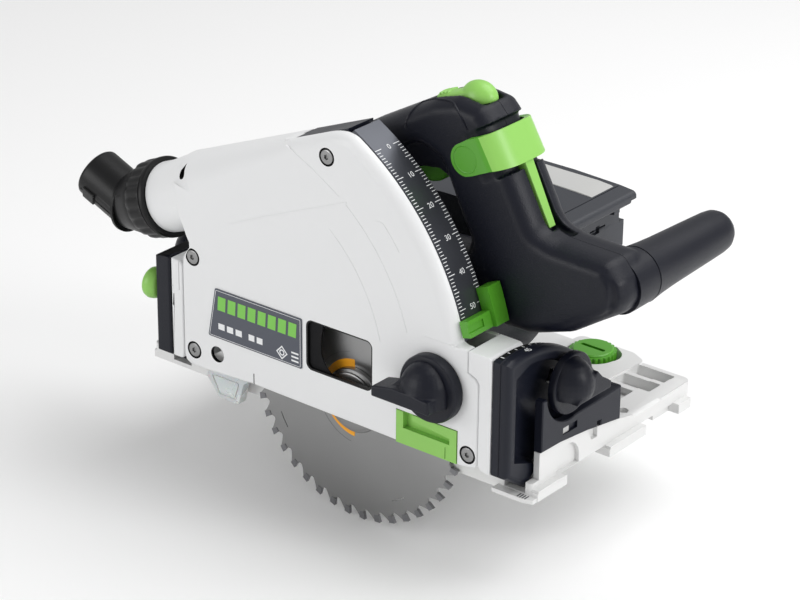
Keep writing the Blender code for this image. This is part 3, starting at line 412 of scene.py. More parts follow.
def merged(name, pieces, look):
    """One object out of several separate closed shells."""
    build_mesh = bmesh.new()
    for piece in pieces:
        build_mesh.from_mesh(piece.data)
        bpy.data.objects.remove(piece)
    bmesh.ops.scale(build_mesh, vec=(1 / MM, 1 / MM, 1 / MM), verts=build_mesh.verts)
    bmesh.ops.translate(build_mesh, vec=BASE_MIDDLE, verts=build_mesh.verts)
    return new_piece(name, build_mesh, look)


def keep_node(name, look, width):
    """A CAD node that is shown as it is, with rounded edges and a finish."""
    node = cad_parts[name]
    node.data.materials.clear()
    node.data.materials.append(finish(look))
    if width:
        add_rounding(node, width, 2, 35)
    node.data.shade_smooth()
    node.data.set_sharp_from_angle(angle=radians(35))


def top_line(x, drop=0.0):
    return TOP_POINT[1] + TOP_SLOPE * (x - TOP_POINT[0]) - drop


# Blade housing ----------------------------------------------------------------------------------------------


def cover_points():
    """Side view of the cover with, for each corner, the size and the depth of its rounded rim."""
    edge = (1.4, 1.6)
    points = [((100.2, 19.0), edge), ((100.2, 66.0), edge), ((100.0, 71.0), edge), ((97.6, 74.0), edge)]
    points += [((92.4, 76.2), edge), ((92.2, 90.0), (1.2, 1.2)), ((88.0, 90.3), (1.2, 1.2))]
    rim = (8.4, FACE_Y * -1 + RIM_Y)
    low = degrees(asin(41.5 / ARC_RADIUS))
    high = 61.6
    for spot in arc(*PIVOT, ARC_RADIUS, low, high - 3.2, 40):
        points.append((spot, rim))
    corner = (arc(*PIVOT, ARC_RADIUS, high - 3.2, high - 3.2, 1)[0], (1.2, 200.4), (-14.0, top_line(-14)))
    for k in range(1, 9):
        t = k / 8
        spot = [(1 - t) ** 2 * a + 2 * t * (1 - t) * b + t * t * c for a, b, c in zip(*corner)]
        points.append((tuple(spot), rim))
    for x in (-22, -30, -38, -44):
        points.append(((x, top_line(x)), rim))
    for k in range(9):
        x = -50 - 11 * k
        size = 9.0 + 13.0 * k / 8
        points.append(((x, top_line(x)), (size, size)))
    edge = (3.0, 3.0)
    points += [((-139, 132), (8, 20)), ((-134, 116), (4, 12)), ((-124.5, 99.5), edge)]
    points += [((-122.7, 96.4), edge), ((-122.6, 93.0), edge), ((-127.6, 86.0), edge), ((-128, 80), edge)]
    points += [((-128, 50), edge), ((-128, 20.5), edge), ((-126.6, 16.2), edge), ((-122.8, 14.1), edge)]
    edge = (1.4, 1.6)
    points += [((x, z), edge) for x, z in ((-110, 14.7), (-99.8, 15.3), (-71.6, 17.0), (-57, 16.8),
        (40, 16.0))]
    points += [((87.6, 15.2), edge), ((97.4, 16.4), edge)]
    return points


def rim_layers(points, depths, wall):
    """Outlines at several depths behind the face; wall moves everything in for the hollow."""
    outline = [spot for spot, _ in points]
    layers = []
    for depth in depths:
        insets = []
        for _, (size, reach) in points:
            share = max(0.0, 1 - depth / reach)
            insets.append(size * (1 - sqrt(1 - share * share)) + wall)
        layers.append((FACE_Y + depth, shrunk(outline, insets)))
    return layers


def hollow_outline(inset):
    """Side view of the room inside the cover."""
    points = [(112, 10), (112, 86)]
    points += arc(*PIVOT, ARC_RADIUS - inset, 12.5, 60.5, 24)
    points += [(-50, top_line(-50, inset + 1)), (-118, top_line(-118, inset + 5)), (-121, 124), (-117, 97)]
    points += [(-125, 84), (-125, 20), (-118, 10)]
    return points


def spout_rings(wall):
    """The dust spout: round at its end and growing into the shoulder of the cover."""
    rings = []
    up = Vector((PORT_AXIS.z, 0, -PORT_AXIS.x))
    for back, radius, lift, y in ((-4 if wall else 0, 22.2, 0, 8.2), (8, 22.2, 0, 8.2),
            (20, 23.0, 0.8, 9.0), (32, 24, 1.6, 10), (44, 24.0, 1.6, 10)):
        middle = PORT - PORT_AXIS * back + up * lift
        ring = []
        for i in range(56):
            a = 2 * pi * i / 56
            side = Vector((0, 1, 0)) * cos(a) + up * sin(a)
            ring.append(Vector((middle.x, y, middle.z)) + side * (radius - wall))
        rings.append(ring)
    return rings


def blade_cover():
    points = cover_points()
    depths = [0, 0.08, 0.3, 0.7, 1.25, 2.0, 2.9, 4.0, 5.3, 6.7, 8.5, 11, 14, 18, 22, FACE_Y * -1 + WALL_Y]
    cover = loft("blade_cover", rim_layers(points, depths, 0.0), "Y", "paint")
    join(cover, skin("spout", spout_rings(0.0), "paint"))
    inner = [(FACE_Y + 2.5, hollow_outline(6.5)), (RIM_Y, hollow_outline(3.0)), (40, hollow_outline(3.0))]
    behind = [(-128, top_line(-128, 7)), (-130, 128), (-119, 97), (-100, 97), (-100, top_line(-100, 7))]
    cut(cover, loft("inside", inner, "Y"), prism("behind", behind, "Y", 2, 40),
        prism("front_open", rectangle(-44, 0, 120, 230), "Y", RIM_Y, 40),
        skin("spout_bore", spout_rings(2.4)))
    cut(cover, prism("window", rounded(rectangle(-28, 41.4, 22.7, 74.1), 4.5, 5), "Y", -20, 0),
        prism("gate", rectangle(40.8, 5, 86.2, 37.2), "Y", -20, -3),
        rod("plug_hole", (-99.4, 0, 28.4), ACROSS, -20, -5, 5.3, 28),
        prism("slit", rectangle(-70.2, 10, -69.5, 24.6), "Y", -20, 0),
        rod("drop_hole", (-129.5, 0, 138), ACROSS, -20, -3, 2.7, 20),
        prism("drop_neck", [(-131.5, 139.6), (-127.6, 139.6), (-129.2, 144.0)], "Y", -20, -3))
    seat = [(-20, 0), (-20, 5.7), (-14.0, 5.7), (-13.2, 5.1), (-12.6, 5.1), (-12.6, 2.6), (-8, 2.6), (-8, 0)]
    for x, z in SCREW_SPOTS:
        cut(cover, turned("seat", seat, (x, 0, z), ACROSS, 32))
    soften(cover, 0.35, 2, 50, 45)
    fit(cover, "saw_unit", "blade_cover")


SCREW_SPOTS = ((-118.5, 88.0), (-118.5, 25.6), (-11.8, 181.0), (93.4, 24.1))


def ribbon(name, points, width, low, high, look):
    """A thin rib on the face of the cover through (x, z) points."""
    rings = []
    for i, point in enumerate(points):
        here = Vector(point)
        ahead = Vector(points[min(i + 1, len(points) - 1)]) - Vector(points[max(i - 1, 0)])
        side = Vector((-ahead.y, ahead.x)).normalized() * width / 2
        left, right = here + side, here - side
        rings.append([Vector((left.x, low, left.y)), Vector((left.x, high, left.y)),
            Vector((right.x, high, right.y)), Vector((right.x, low, right.y))])
    return skin(name, rings, look)


def frame_ring(name, outer, inner, axis, low, high, look):
    rings = []
    for depth, outline in ((low, outer), (high, outer), (high, inner), (low, inner)):
        rings.append([place(axis, depth, u, v) for u, v in outline])
    return skin(name, rings, look, closed=True)


def cover_details():
    low = FACE_Y - 0.16
    high = FACE_Y + 0.4
    strokes = (([(-88.2, 117.9), (-58, 131.4), (-23, 146.0)], 0.7, low - 0.1),
        ([(-20.5, 147.0), (3.0, 156.8)], 0.7, low - 0.1),
        ([(-42.3, 180.5), (-22.3, 170.7), (-2.5, 158.8)], 0.45, low),
        (arc(*PIVOT, 133.6, 52, 16.5, 24), 0.35, low), (arc(*PIVOT, 111.5, 51, 13.5, 20), 0.35, low),
        ([(23.9, 151.1), (29.6, 151.4), (31.4, 149.6)] + arc(*PIVOT, 149.4, 41.8, 35.4, 6), 0.5, low),
        ([(43.5, 78.0), (60, 89.6), (84, 89.9)], 0.35, low))
    ribs = [ribbon("rib", path, width, bottom, high, "paint") for path, width, bottom in strokes]
    fit(merged("cover_ribs", ribs, "paint"), "saw_unit")

    hook = slab("cover_hook", [(-49, 177), (-43.4, 179.2), (-41.6, top_line(-41.6) - 0.2),
        (-47.6, top_line(-47.6) + 0.8)], "Y", -9, 3, 0.8, "paint")
    fit(hook, "saw_unit")

    outer = rounded(rectangle(-28, 41.4, 22.7, 74.1), 4.5, 5)
    frame_piece = frame_ring("window_frame", shrunk(outer, -0.1), shrunk(outer, 1.1), "Y", FACE_Y + 0.25,
        FACE_Y + 2.6, "black")
    fit(soften(frame_piece, 0.25, 2), "saw_unit")
    # A black sheet behind the left of the window: painted shade of the dark inside of the cover.
    shade = [(-28.2, 74.3), (-16.0, 74.3), (-17.6, 66), (-18.4, 60), (-17.9, 53), (-16.4, 49),
        (-13.4, 45.2), (-9.0, 41.2), (-28.2, 41.2)]
    fit(prism("window_painted_shade", shade, "Y", FACE_Y + 2.0, FACE_Y + 2.7), "saw_unit", slot="black_plastic")


def label_plate():
    outline = [(-106, 40), (-31, 40), (-31, 73), (-100, 73)]
    plate = slab("label_plate", rounded(outline, 1.0, 3), "Y", FACE_Y - 0.72, FACE_Y - 0.02, 0.2, "label")
    fit(plate, "saw_unit", "label_plate")
    low, high = FACE_Y - 0.80, FACE_Y - 0.5
    inside = rounded(shrunk(outline, 0.9), 0.7, 3)
    boxes = [(-97.5 + 7 * k, 46.5, -92.5 + 7 * k, 50.5) for k in range(3)]
    boxes += [(-73 + 6.5 * k, 46.5, -68.4 + 6.5 * k, 50.5) for k in range(2)]
    boxes += [(-39, 43.2 + 2.6 * k, -33.4, 44.3 + 2.6 * k) for k in range(3)]
    marks = [prism("mark", rectangle(*box), "Y", low, high, "white_ink") for box in boxes]
    marks.append(frame_ring("mark", inside, shrunk(inside, 0.28), "Y", low, high, "white_ink"))
    diamond = [(-46.5, 41.8), (-42, 46.4), (-46.5, 51), (-51, 46.4)]
    marks.append(frame_ring("mark", diamond, shrunk(diamond, 0.8), "Y", low, high, "white_ink"))
    ring = [(0, 1.2), (0, 2.0), (0.3, 2.0), (0.3, 1.2)]
    marks.append(turned("mark", ring, (-46.5, low, 46.4), ACROSS, 20, "white_ink"))
    fit(merged("label_marks", marks, "white_ink"), "saw_unit", slot="label")
    bars = []
    for k in range(8):
        x = -98 + 8.05 * k
        bar = [(x, 59.2), (x + 6.2, 59.2), (x + 6.8, 68.4), (x + 0.6, 68.4)]
        bars.append(prism("bar", bar, "Y", low, high, "label_green"))
    fit(merged("label_bars", bars, "label_green"), "saw_unit")


def on_arc(radius, angle, y):
    a = radians(angle)
    return Vector((PIVOT[0] + radius * cos(a), y, PIVOT[1] + radius * sin(a)))


def scale_angle(reading):
    return 55.0 - 0.7 * reading


def depth_scale():
    inner, outer = ARC_RADIUS - 1.9, ARC_RADIUS + 0.4
    low_y, high_y = RIM_Y + 0.3, 16.0
    rings = []
    for k in range(65):
        angle = 14.0 + 47.0 * k / 64
        rings.append([on_arc(inner, angle, low_y), on_arc(outer - 0.3, angle, low_y),
            on_arc(outer, angle, low_y + 0.4), on_arc(outer, angle, high_y - 0.4),
            on_arc(outer - 0.3, angle, high_y), on_arc(inner, angle, high_y)])
    strip = skin("depth_scale", rings, "scale")
    fit(strip, "saw_unit", "depth_scale")
    ticks = bmesh.new()
    half = 0.075
    for reading in range(56):
        angle = scale_angle(reading)
        reach = 5.4 if reading % 10 == 0 else (4.2 if reading % 5 == 0 else 3.0)
        for start, stop in ((low_y + 0.7, low_y + 0.7 + reach), (high_y - 0.7 - reach, high_y - 0.7)):
            corners = []
            for radius in (outer - 0.1, outer + 0.05):
                for a, y in ((angle - half, start), (angle + half, start), (angle + half, stop),
                        (angle - half, stop)):
                    corners.append(ticks.verts.new(on_arc(radius, a, y)))
            for face in ((0, 1, 2, 3), (4, 5, 6, 7), (0, 1, 5, 4), (1, 2, 6, 5), (2, 3, 7, 6), (3, 0, 4, 7)):
                ticks.faces.new([corners[i] for i in face])
    fit(new_piece("depth_ticks", ticks, "white_ink"), "saw_unit", slot="scale_plate")
    numbers = []
    for reading in (0, 10, 20, 30, 40, 50, 55):
        numbers.append(number_on("number", str(reading), 4.8, on_arc(outer + 0.02,
            scale_angle(reading) - 0.2, 5.6), Vector((0, 1, 0)), on_arc(1, scale_angle(reading) + 90, 0)
            - on_arc(0, 0, 0)))
    fit(merged("depth_numbers", numbers, "white_ink"), "saw_unit", slot="scale_plate")


def number_on(name, words, size, spot, right, up):
    """Raised digits whose middle is at a spot, reading along right with their tops towards up."""
    curve = bpy.data.curves.new(name, "FONT")
    curve.body = words
    curve.size = size
    curve.align_x = "CENTER"
    curve.align_y = "CENTER"
    curve.extrude = 0.07
    item = bpy.data.objects.new(name, curve)
    bpy.context.scene.collection.objects.link(item)
    bpy.context.view_layer.update()
    graph = bpy.context.evaluated_depsgraph_get()
    mesh = bpy.data.meshes.new_from_object(item.evaluated_get(graph))
    bpy.data.objects.remove(item)
    digits = bmesh.new()
    digits.from_mesh(mesh)
    out = right.normalized().cross(up.normalized())
    turn = Matrix((right.normalized(), up.normalized(), out)).transposed().to_4x4()
    bmesh.ops.remove_doubles(digits, verts=digits.verts, dist=0.001)
    bmesh.ops.transform(digits, matrix=Matrix.Translation(spot) @ turn, verts=digits.verts)
    return new_piece(name, digits, "white_ink")


def depth_stop():
    def sector(name, inner, outer, start, stop, low, high):
        outline = arc(*PIVOT, outer, start, stop, 4) + arc(*PIVOT, inner, stop, start, 4)
        return prism(name, outline, "Y", low, high, "green")

    stop = sector("depth_stop", 171.0, 177.0, 15.0, 18.2, -9.5, 17.5)
    join(stop, sector("tower", 171.0, 179.6, 15.0, 22.6, 11.5, 23.2))
    join(stop, sector("foot", 169.0, 172.0, 15.2, 22.0, 16.9, 19.6))
    cut(stop, sector("nick", 176.0, 181, 15.9, 17.4, -20, 4))
    soften(stop, 0.9, 3)
    fit(stop, "stop", "depth_stop")


def top_cap():
    rear, front = -43.6, -1.5
    top = [(x, top_line(x) - 0.3) for x in (rear, front)]
    outline = top + [(x, z - 3.0) for x, z in reversed(top)]
    fit(slab("top_cap", outline, "Y", RIM_Y + 0.3, 16, 0.6, "navy_smooth"), "saw_unit", "top_cap")


def cover_screws():
    for number, (x, z) in enumerate(SCREW_SPOTS, 1):
        profile = [(-14.3, 0), (-14.35, 3.4), (-14.0, 4.4), (-13.2, 4.7), (-12.7, 4.6), (-12.7, 2.0),
            (4, 2.0), (4, 0)]
        if number == 2:
            profile[-2:] = [(-8.6, 2.0), (-8.6, 0)]
        screw = turned("cover_screw_%d" % number, profile, (x, 0, z), ACROSS, 32, "steel")
        star = [(x + r * cos(a), z + r * sin(a)) for a, r in ((pi * k / 6, 2.1 if k % 2 else 1.35)
            for k in range(12))]
        cut(screw, prism("socket", rounded(star, 0.4, 2), "Y", -20, -13.2))
        fit(soften(screw, 0.12, 2), "saw_unit", "cover_screw_%d" % number)


def end_housings():
    outline = [(100.7, 19.2), (103.0, 16.6), (109.6, 15.8), (109.6, 90), (92.8, 90.2), (92.8, 76.6),
        (98.4, 74.4), (100.7, 71.2)]
    front = prism("front_end_housing", rounded(outline, [0, 0, 1.5, 3, 0, 0, 0, 0], 4), "Y", FACE_Y, 16,
        "paint")
    soften(front, 0.6, 3)
    fit(front, "saw_unit", "front_end_housing")
    outline = [(-137.7, 16), (-128.6, 16), (-128.6, 79), (-130.2, 81.5), (-137.7, 82)]
    rear = slab("rear_end_housing", rounded(outline, [0.5, 2.5, 1, 1, 0.5], 3), "Y", FACE_Y + 1, 16, 1.0,
        "paint")
    cut(rear, rod("button_hole", (0, -6, 57), (1, 0, 0), -160, -130, 4.4, 24),
        prism("notch", rectangle(-139, 50.5, -135.4, 58.5), "Y", -20, -6),
        prism("groove", rectangle(-131.4, 62, -130.8, 90), "Y", -20, -12.2))
    fit(soften(rear, 0.15, 2), "saw_unit", "rear_end_housing")


def quadrant_outline(height, flat):
    outline = [(FACE_Y, 17), (6, 3.6), (18, 14), (84, 14)]
    outline += arc(0, 0, 91, 23, height, 40)
    outline += [(FACE_Y, flat)]
    return outline


def slot_cutter(low, high):
    outline = arc(0, 0, 77.1, 10, 64, 30) + arc(0, 0, 67.9, 64, 10, 30)
    return prism("slot", outline, "X", low, high)


def quadrants():
    outline = quadrant_outline(96, 89)
    layers = [(110.0, shrunk(outline, 0.5)), (110.5, outline), (115.2, outline),
        (115.7, shrunk(outline, 0.55)), (116.2, outline)]
    for k in range(1, 7):
        a = pi / 2 * k / 6
        layers.append((118.0 + 4.0 * sin(a), shrunk(outline, 4.0 * (1 - cos(a)))))
    front = loft("front_tilt_quadrant", layers, "X", "navy_smooth")
    recess = arc(0, 0, 83, 12, 86, 36) + [(-6.5, 78), (-6.5, 26)] + arc(0, 0, 22, 70, 30, 8)
    cut(front, loft("recess", [(116, shrunk(recess, 1.5)), (117.5, recess), (125, shrunk(recess, -1.5))],
        "X"))
    cut(front, slot_cutter(0, 300))
    recess = arc(0, 0, 93, 55.5, 97, 20) + arc(0, 0, 89.9, 97, 55.5, 20)
    cut(front, prism("scale_seat", recess, "X", 108, 114.4))
    soften(front, 0.3, 2)
    fit(front, "saw_unit", "front_tilt_quadrant")
    ticks = []
    for k in range(10):
        angle = 57 + 4.2 * k
        outline = arc(0, 0, 89.98, angle - 0.22, angle + 0.22, 1) + arc(0, 0, 89.4, angle + 0.22,
            angle - 0.22, 1)
        ticks.append(prism("tick", outline, "X", 110.7, 113.9 if k % 3 == 0 else 112.4, "white_ink"))
    ticks.append(number_on("tilt_number", "45", 5.2, Vector((118.2, 8.0, 90.68)), Vector((0, 1, -0.09)),
        Vector((-1, 0, 0))))
    fit(merged("tilt_marks", ticks, "white_ink"), "saw_unit", slot="navy_plastic")

    outline = quadrant_outline(75, 82)
    rear = slab("rear_tilt_quadrant", outline, "X", -150, -138, 1.6, "navy")
    recess = arc(0, 0, 85, 12, 78, 30) + arc(0, 0, 22, 78, 30, 6)
    cut(rear, prism("recess", recess, "X", -152, -144), rod("release_hole", (0, -6, 57), (1, 0, 0), -160,
        -130, 4.4, 24))
    cut(rear, slot_cutter(-300, 0))
    cut(rear, prism("top_cut", [(-152, 80), (-152, 90), (-136, 90), (-136, 83.5)], "Y", -20, 100))
    soften(rear, 0.3, 2)
    fit(rear, "saw_unit", "rear_tilt_quadrant")


def melt(piece, voxel, rounds, keep=1.0):
    """Turns a joined solid into one moulded surface with soft edges."""
    step = piece.modifiers.new("remesh", "REMESH")
    step.mode = "VOXEL"
    step.voxel_size = voxel * MM
    step = piece.modifiers.new("smooth", "SMOOTH")
    step.factor = 0.5
    step.iterations = rounds
    if keep < 1:
        step = piece.modifiers.new("reduce", "DECIMATE")
        step.ratio = keep
    bake(piece)
    piece.data.shade_smooth()
    return piece


def ellipsoid(name, centre, radii, look, steps=28):
    build_mesh = bmesh.new()
    bmesh.ops.create_uvsphere(build_mesh, u_segments=steps, v_segments=steps // 2, radius=1)
    bmesh.ops.scale(build_mesh, vec=radii, verts=build_mesh.verts)
    bmesh.ops.translate(build_mesh, vec=centre, verts=build_mesh.verts)
    return new_piece(name, build_mesh, look)


def guard_knob():
    x, z = GUARD_KNOB
    skirt = turned("guard_knob", [(-14.35, 0), (-14.35, 20.6), (-15, 21), (-19.5, 21), (-21, 20.2),
        (-21.6, 18), (-21.6, 0)], (x, 0, z), ACROSS, 64, "navy")
    body = ellipsoid("dome", (x - 1.5, -19.5, z - 3.0), (16.8, 15.8, 21.0), "navy")
    cut(body, prism("under", rectangle(x - 40, z - 40, x + 40, z - 7.8), "Y", -60, 20))
    cut(body, prism("behind", rectangle(x - 40, z - 40, x + 40, z + 40), "Y", -19, 20))
    wing = prism("wing", [(x - 30, z - 7.8), (x + 12, z - 7.8), (x + 12, z + 0.5), (x - 14, z + 2.0),
        (x - 22, z + 0.4), (x - 30, z - 1.4)], "Y", -35.6, -19.2, "navy")
    web = prism("web", [(x - 24, z - 3), (x - 10, z - 3), (x - 8, z + 10), (x - 13, z + 7),
        (x - 17, z + 2.6)], "Y", -30, -19.2, "navy")
    join(body, wing)
    join(body, web)
    melt(body, 0.55, 10, 0.35)
    stem = turned("stem", [(-16, 0), (-16, 3.6), (-9.1, 3.6), (-9.1, 6.5), (-8.2, 6.5), (-8.2, 0)],
        (x, 0, z), ACROSS, 24, "navy")
    soften(skirt, 0.2, 2)
    knob = merged("guard_knob", [skirt, body, stem], "navy")
    fit(knob, "guard_clamp", "guard_knob")


def splinter_guard():
    guard = prism("splinter_guard", rectangle(41.3, 15.4, 85.7, 36.9), "Y", FACE_Y - 0.6, -9.4, "light_green")
    tongue = prism("tongue", rectangle(60, 30, 78, 88), "Y", -11.2, -9.4, "light_green")
    join(guard, tongue)
    cut(guard, prism("tongue_slot", rounded(rectangle(64.8, 55.5, 73.2, 82), 3.5), "Y", -12, 0),
        prism("grip", [(46.5, 26.4), (80.6, 26.4), (80.6, 30.4), (53, 33.2), (53, 37.5), (46.5, 37.5)], "Y",
        -20, -10.6), prism("groove", rectangle(77.4, 16.5, 77.9, 24.0), "Y", -20, FACE_Y + 0.2),
        prism("foot", [(-20, 10), (-20, 17.4), (FACE_Y + 0.2, 15.6), (FACE_Y + 0.2, 10)], "X", 30, 100))
    soften(guard, 0.4, 2)
    fit(guard, "guard", "splinter_guard")


def ring_nut():
    up = Vector((PORT_AXIS.z, 0, -PORT_AXIS.x))
    waves, steps = 20, 8

    def ring_at(outline, along):
        spot = PORT + PORT_AXIS * along
        return [spot + Vector((0, 1, 0)) * u + up * v for u, v in outline]

    def circle(radius):
        return arc(0, 0, radius, 0, 360, waves * steps)[:-1]

    plain = ((21.2, 0.5), (24.9, 0.5), (25.4, 1.2), (25.4, 3.0), (24.4, 3.4), (24.4, 3.9), (25.0, 4.3))
    rings = [ring_at(circle(radius), along) for radius, along in plain]
    for along, depth, radius in ((5.2, 0.9, 25.0), (7, 1.3, 25.0), (14, 1.3, 24.8), (17.0, 0.9, 24.2),
            (18.4, 0.2, 22.8)):
        rings.append(ring_at(scalloped(0, 0, waves, radius, depth, steps), along))
    rings += [ring_at(circle(21.8), 18.9), ring_at(circle(21.2), 18.9)]
    nut = skin("dust_ring_nut", rings, "black", closed=True, sharp=50)
    fit(nut, "ring_nut", "dust_ring_nut")


def dust_nozzle():
    profile = [(-33, 0), (-33, 18.6), (-18.6, 18.6), (-17.6, 21.6), (-14, 21.4), (-3, 18.0), (-1.4, 17.5),
        (2, 16.6), (2, 0)]
    cone = turned("dust_nozzle", profile, ELBOW, PORT_AXIS, 64, "black")
    profile = [(-2, 0), (-2, 16.4), (30.5, 16.4), (31.8, 16.2), (32.8, 15.4), (32.8, 0)]
    pipe = turned("pipe", profile, ELBOW, NOZZLE_AXIS, 64, "black")
    mitre = (PORT_AXIS + NOZZLE_AXIS).normalized()
    profile = [(-1.4, 0), (-1.5, 18.0), (-0.9, 19.0), (0.9, 19.0), (1.5, 18.0), (1.4, 0)]
    collar = turned("collar", profile, ELBOW, mitre, 64, "black")
    join(cone, pipe)
    join(cone, collar)
    cut(cone, rod("inlet", ELBOW, PORT_AXIS, -40, -1, 13.8, 48))
    cut(cone, rod("outlet", ELBOW, NOZZLE_AXIS, -1, 40, 14.2, 48))
    side = Vector((0, -1, 0))
    out = (side * 0.94 + side.cross(NOZZLE_AXIS) * 0.34).normalized()
    turn = Matrix((NOZZLE_AXIS, out.cross(NOZZLE_AXIS), out)).transposed().to_4x4()

    def block(name, size, along, away):
        build_mesh = bmesh.new()
        bmesh.ops.create_cube(build_mesh, size=1)
        bmesh.ops.scale(build_mesh, vec=size, verts=build_mesh.verts)
        place_it = Matrix.Translation(ELBOW + NOZZLE_AXIS * along + out * away) @ turn
        bmesh.ops.transform(build_mesh, matrix=place_it, verts=build_mesh.verts)
        return new_piece(name, build_mesh, "black")

    tab = soften(block("tab", (10, 9, 2.4), 22, 16.3 * TAB_LEAN), 0.7, 3)
    line = block("line", (30, 0.7, 1.0), 15, 16.2)
    soften(cone, 0.35, 2)
    nozzle = merged("dust_nozzle", [cone, tab, line], "black")
    fit(nozzle, "nozzle", "dust_nozzle")


def kickback_flap():
    x, z = -81.0, 21.0
    outline = [(x + 4, z + 4), (x - 8, z + 4), (x - 12, 13), (-112, 13), (-115, 8), (-104, -5), (-88, -5),
        (-84, 10), (x + 4, z - 6)]
    flap = slab("kickback_flap", rounded(outline, 2.2, 3), "Y", -8, -1.4, 0.6, "clear")
    inset = [(-109, 9.4), (-103.4, -1.2), (-91.4, -1.2), (-88.0, 9.4)]
    cut(flap, rod("bore", (x, 0, z), ACROSS, -20, 20, 2.0, 20))
    cut(flap, frame_ring("line", rounded(shrunk(inset, -1), 1.5), rounded(inset, 1.2), "Y", -12, -7.2,
        "clear"))
    fit(soften(flap, 0.15, 2), "flap", "kickback_flap")


def release_button():
    profile = [(133, 0), (133, 4.0), (151.4, 4.0), (151.9, 7.0), (153.0, 8.4), (156.0, 9.8), (158.4, 10.2),
        (160.4, 9.6), (161.6, 8.0), (161.0, 7.0), (160.6, 0)]
    button = turned("undercut_release", profile, (0, -6, 57), (-1, 0, 0), 56, "light_green", sharp=60)
    fit(button, "undercut_button", "undercut_release")


def blade():
    teeth = 42
    pitch = 360 / teeth
    shape = ((74.0, 0.0), (73.1, 0.8), (73.2, 1.8), (74.6, 3.0), (76.6, 4.4), (78.2, 5.3), (79.0, 5.6),
        (79.0, 8.2), (75.0, 7.8))
    outline = []
    tips = []
    for i in range(teeth):
        start = -16.5 + i * pitch
        for radius, angle in shape:
            a = radians(start + angle)
            outline.append((radius * cos(a), BLADE_Z + radius * sin(a)))
        tip = []
        for radius, angle in ((75.0, 5.9), (79.4, 5.6), (80.0, 8.5), (75.0, 8.1)):
            a = radians(start + angle)
            tip.append((radius * cos(a), BLADE_Z + radius * sin(a)))
        tips.append(prism("tip", tip, "Y", -1.1, 1.1, "carbide"))
    disc = prism("saw_blade", outline, "Y", -0.8, 0.8, "steel")
    cut(disc, rod("bore", (0, 0, BLADE_Z), ACROSS, -5, 5, 10.2, 40))
    for k in range(4):
        start = 25 + 90 * k
        line = arc(0, BLADE_Z, 66, start, start + 9, 6) + arc(0, BLADE_Z, 65.5, start + 9, start, 6)
        cut(disc, prism("slot", line, "Y", -5, 5))
    disc.data.shade_smooth()
    disc.data.set_sharp_from_angle(angle=radians(30))
    disc.data.materials.clear()
    disc.data.materials.append(brushed_steel())
    fit(disc, "blade", "saw_blade", slot="blade_steel")
    fit(merged("blade_tips", tips, "carbide"), "blade")
    outline = arc(0, BLADE_Z, 25.6, 93, 267, 40) + arc(0, BLADE_Z, 19.0, 267, 93, 40)
    fit(prism("blade_colour_ring", outline, "Y", -0.95, -0.7, "orange"), "blade")
    outline = arc(0, BLADE_Z, 30.2, 100, 262, 40) + arc(0, BLADE_Z, 29.9, 262, 100, 40)
    fit(prism("blade_line", outline, "Y", -0.88, -0.7, "carbide"), "blade")
    profile = [(-6.5, 10.2), (-6.5, 17.4), (-6.1, 18.4), (-4.8, 18.6), (-4.4, 20.2), (-3.8, 20.7),
        (-1.1, 20.7), (-1.1, 10.2)]
    outer = turned("outer_flange", profile, (0, 0, BLADE_Z), ACROSS, 72, "steel")
    fit(outer, "blade", "outer_flange")
    bolt = turned("arbor_bolt", [(-11, 0), (-11, 6.6), (-10.4, 7.4), (-7.2, 7.5), (-7.2, 4), (4, 4),
        (4, 0)], (0, 0, BLADE_Z), ACROSS, 48, "steel")
    cut(bolt, rod("socket", (0, 0, BLADE_Z), ACROSS, -15, -8.4, 3.2, 6))
    fit(soften(bolt, 0.2, 2), "blade", "arbor_bolt")
    for name in ("spindle", "inner_flange", "spindle_gear"):
        keep_node(name, "steel", 0.2)


# Handle -----------------------------------------------------------------------------------------------------

POST_NORMAL = Vector((0.86, 0.51)).normalized()
POST_ALONG = Vector((-POST_NORMAL.y, POST_NORMAL.x))
BAND_LOW = 113.6
BAND_HIGH = 138.0
# Side view of the handle: X, Z and the size of the rounded corner
HANDLE = ((-48, 86, 6), (104, 87, 12), (131, 96, 10), (150, 108.5, 10), (163.5, 117, 8), (167.4, 126, 10),
    (164.4, 137, 10), (155.5, 147.0, 8), (119, 148.0, 24), (106.4, 151.5, 12), (84.6, 192, 60),
    (76.2, 207, 12), (66.0, 217.6, 8), (48, 220, 14), (31, 215, 30), (9.3, 202.6, 40), (-22.7, 184.7, 40),
    (-44, 168, 18), (-56, 142, 18), (-58, 104, 14))
GRIP_ROOM = ((-22, 118, 8), (50, 124, 8), (60, 134, 8), (53, 146, 16), (37, 179, 7), (22, 184, 12),
    (2, 174, 18), (-16, 162, 16), (-28, 142, 16))


def on_post(out, up):
    """X and Z of a point given by its distances square to the front of the post and along it."""
    return tuple(POST_NORMAL * out + POST_ALONG * up)


def soft_outline(corners, inset):
    """The outline moved in, each rounded corner keeping its centre."""
    points = [(x, z) for x, z, _ in corners]
    turn = 1 if signed_area(points) > 0 else -1
    radii = []
    for i, (x, z, radius) in enumerate(corners):
        here = Vector((x, z))
        back = here - Vector(points[i - 1])
        ahead = Vector(points[(i + 1) % len(points)]) - here
        bulge = turn * (back.x * ahead.y - back.y * ahead.x)
        radii.append(max(1.2, radius - inset if bulge > 0 else radius + inset))
    return rounded(shrunk(points, inset), radii, 5)


def half_layers(side, corners, grow):
    """Outlines of a handle half from the seam to its outer face; side is -1 for the right half."""
    layers = [(SEAM_Y - side * 4, soft_outline(corners, 0))]
    for k in range(8):
        a = pi / 2 * k / 7
        layers.append((SEAM_Y + side * (6 + 14 * sin(a)), soft_outline(corners, grow * 9 * (1 - cos(a)))))
    return layers


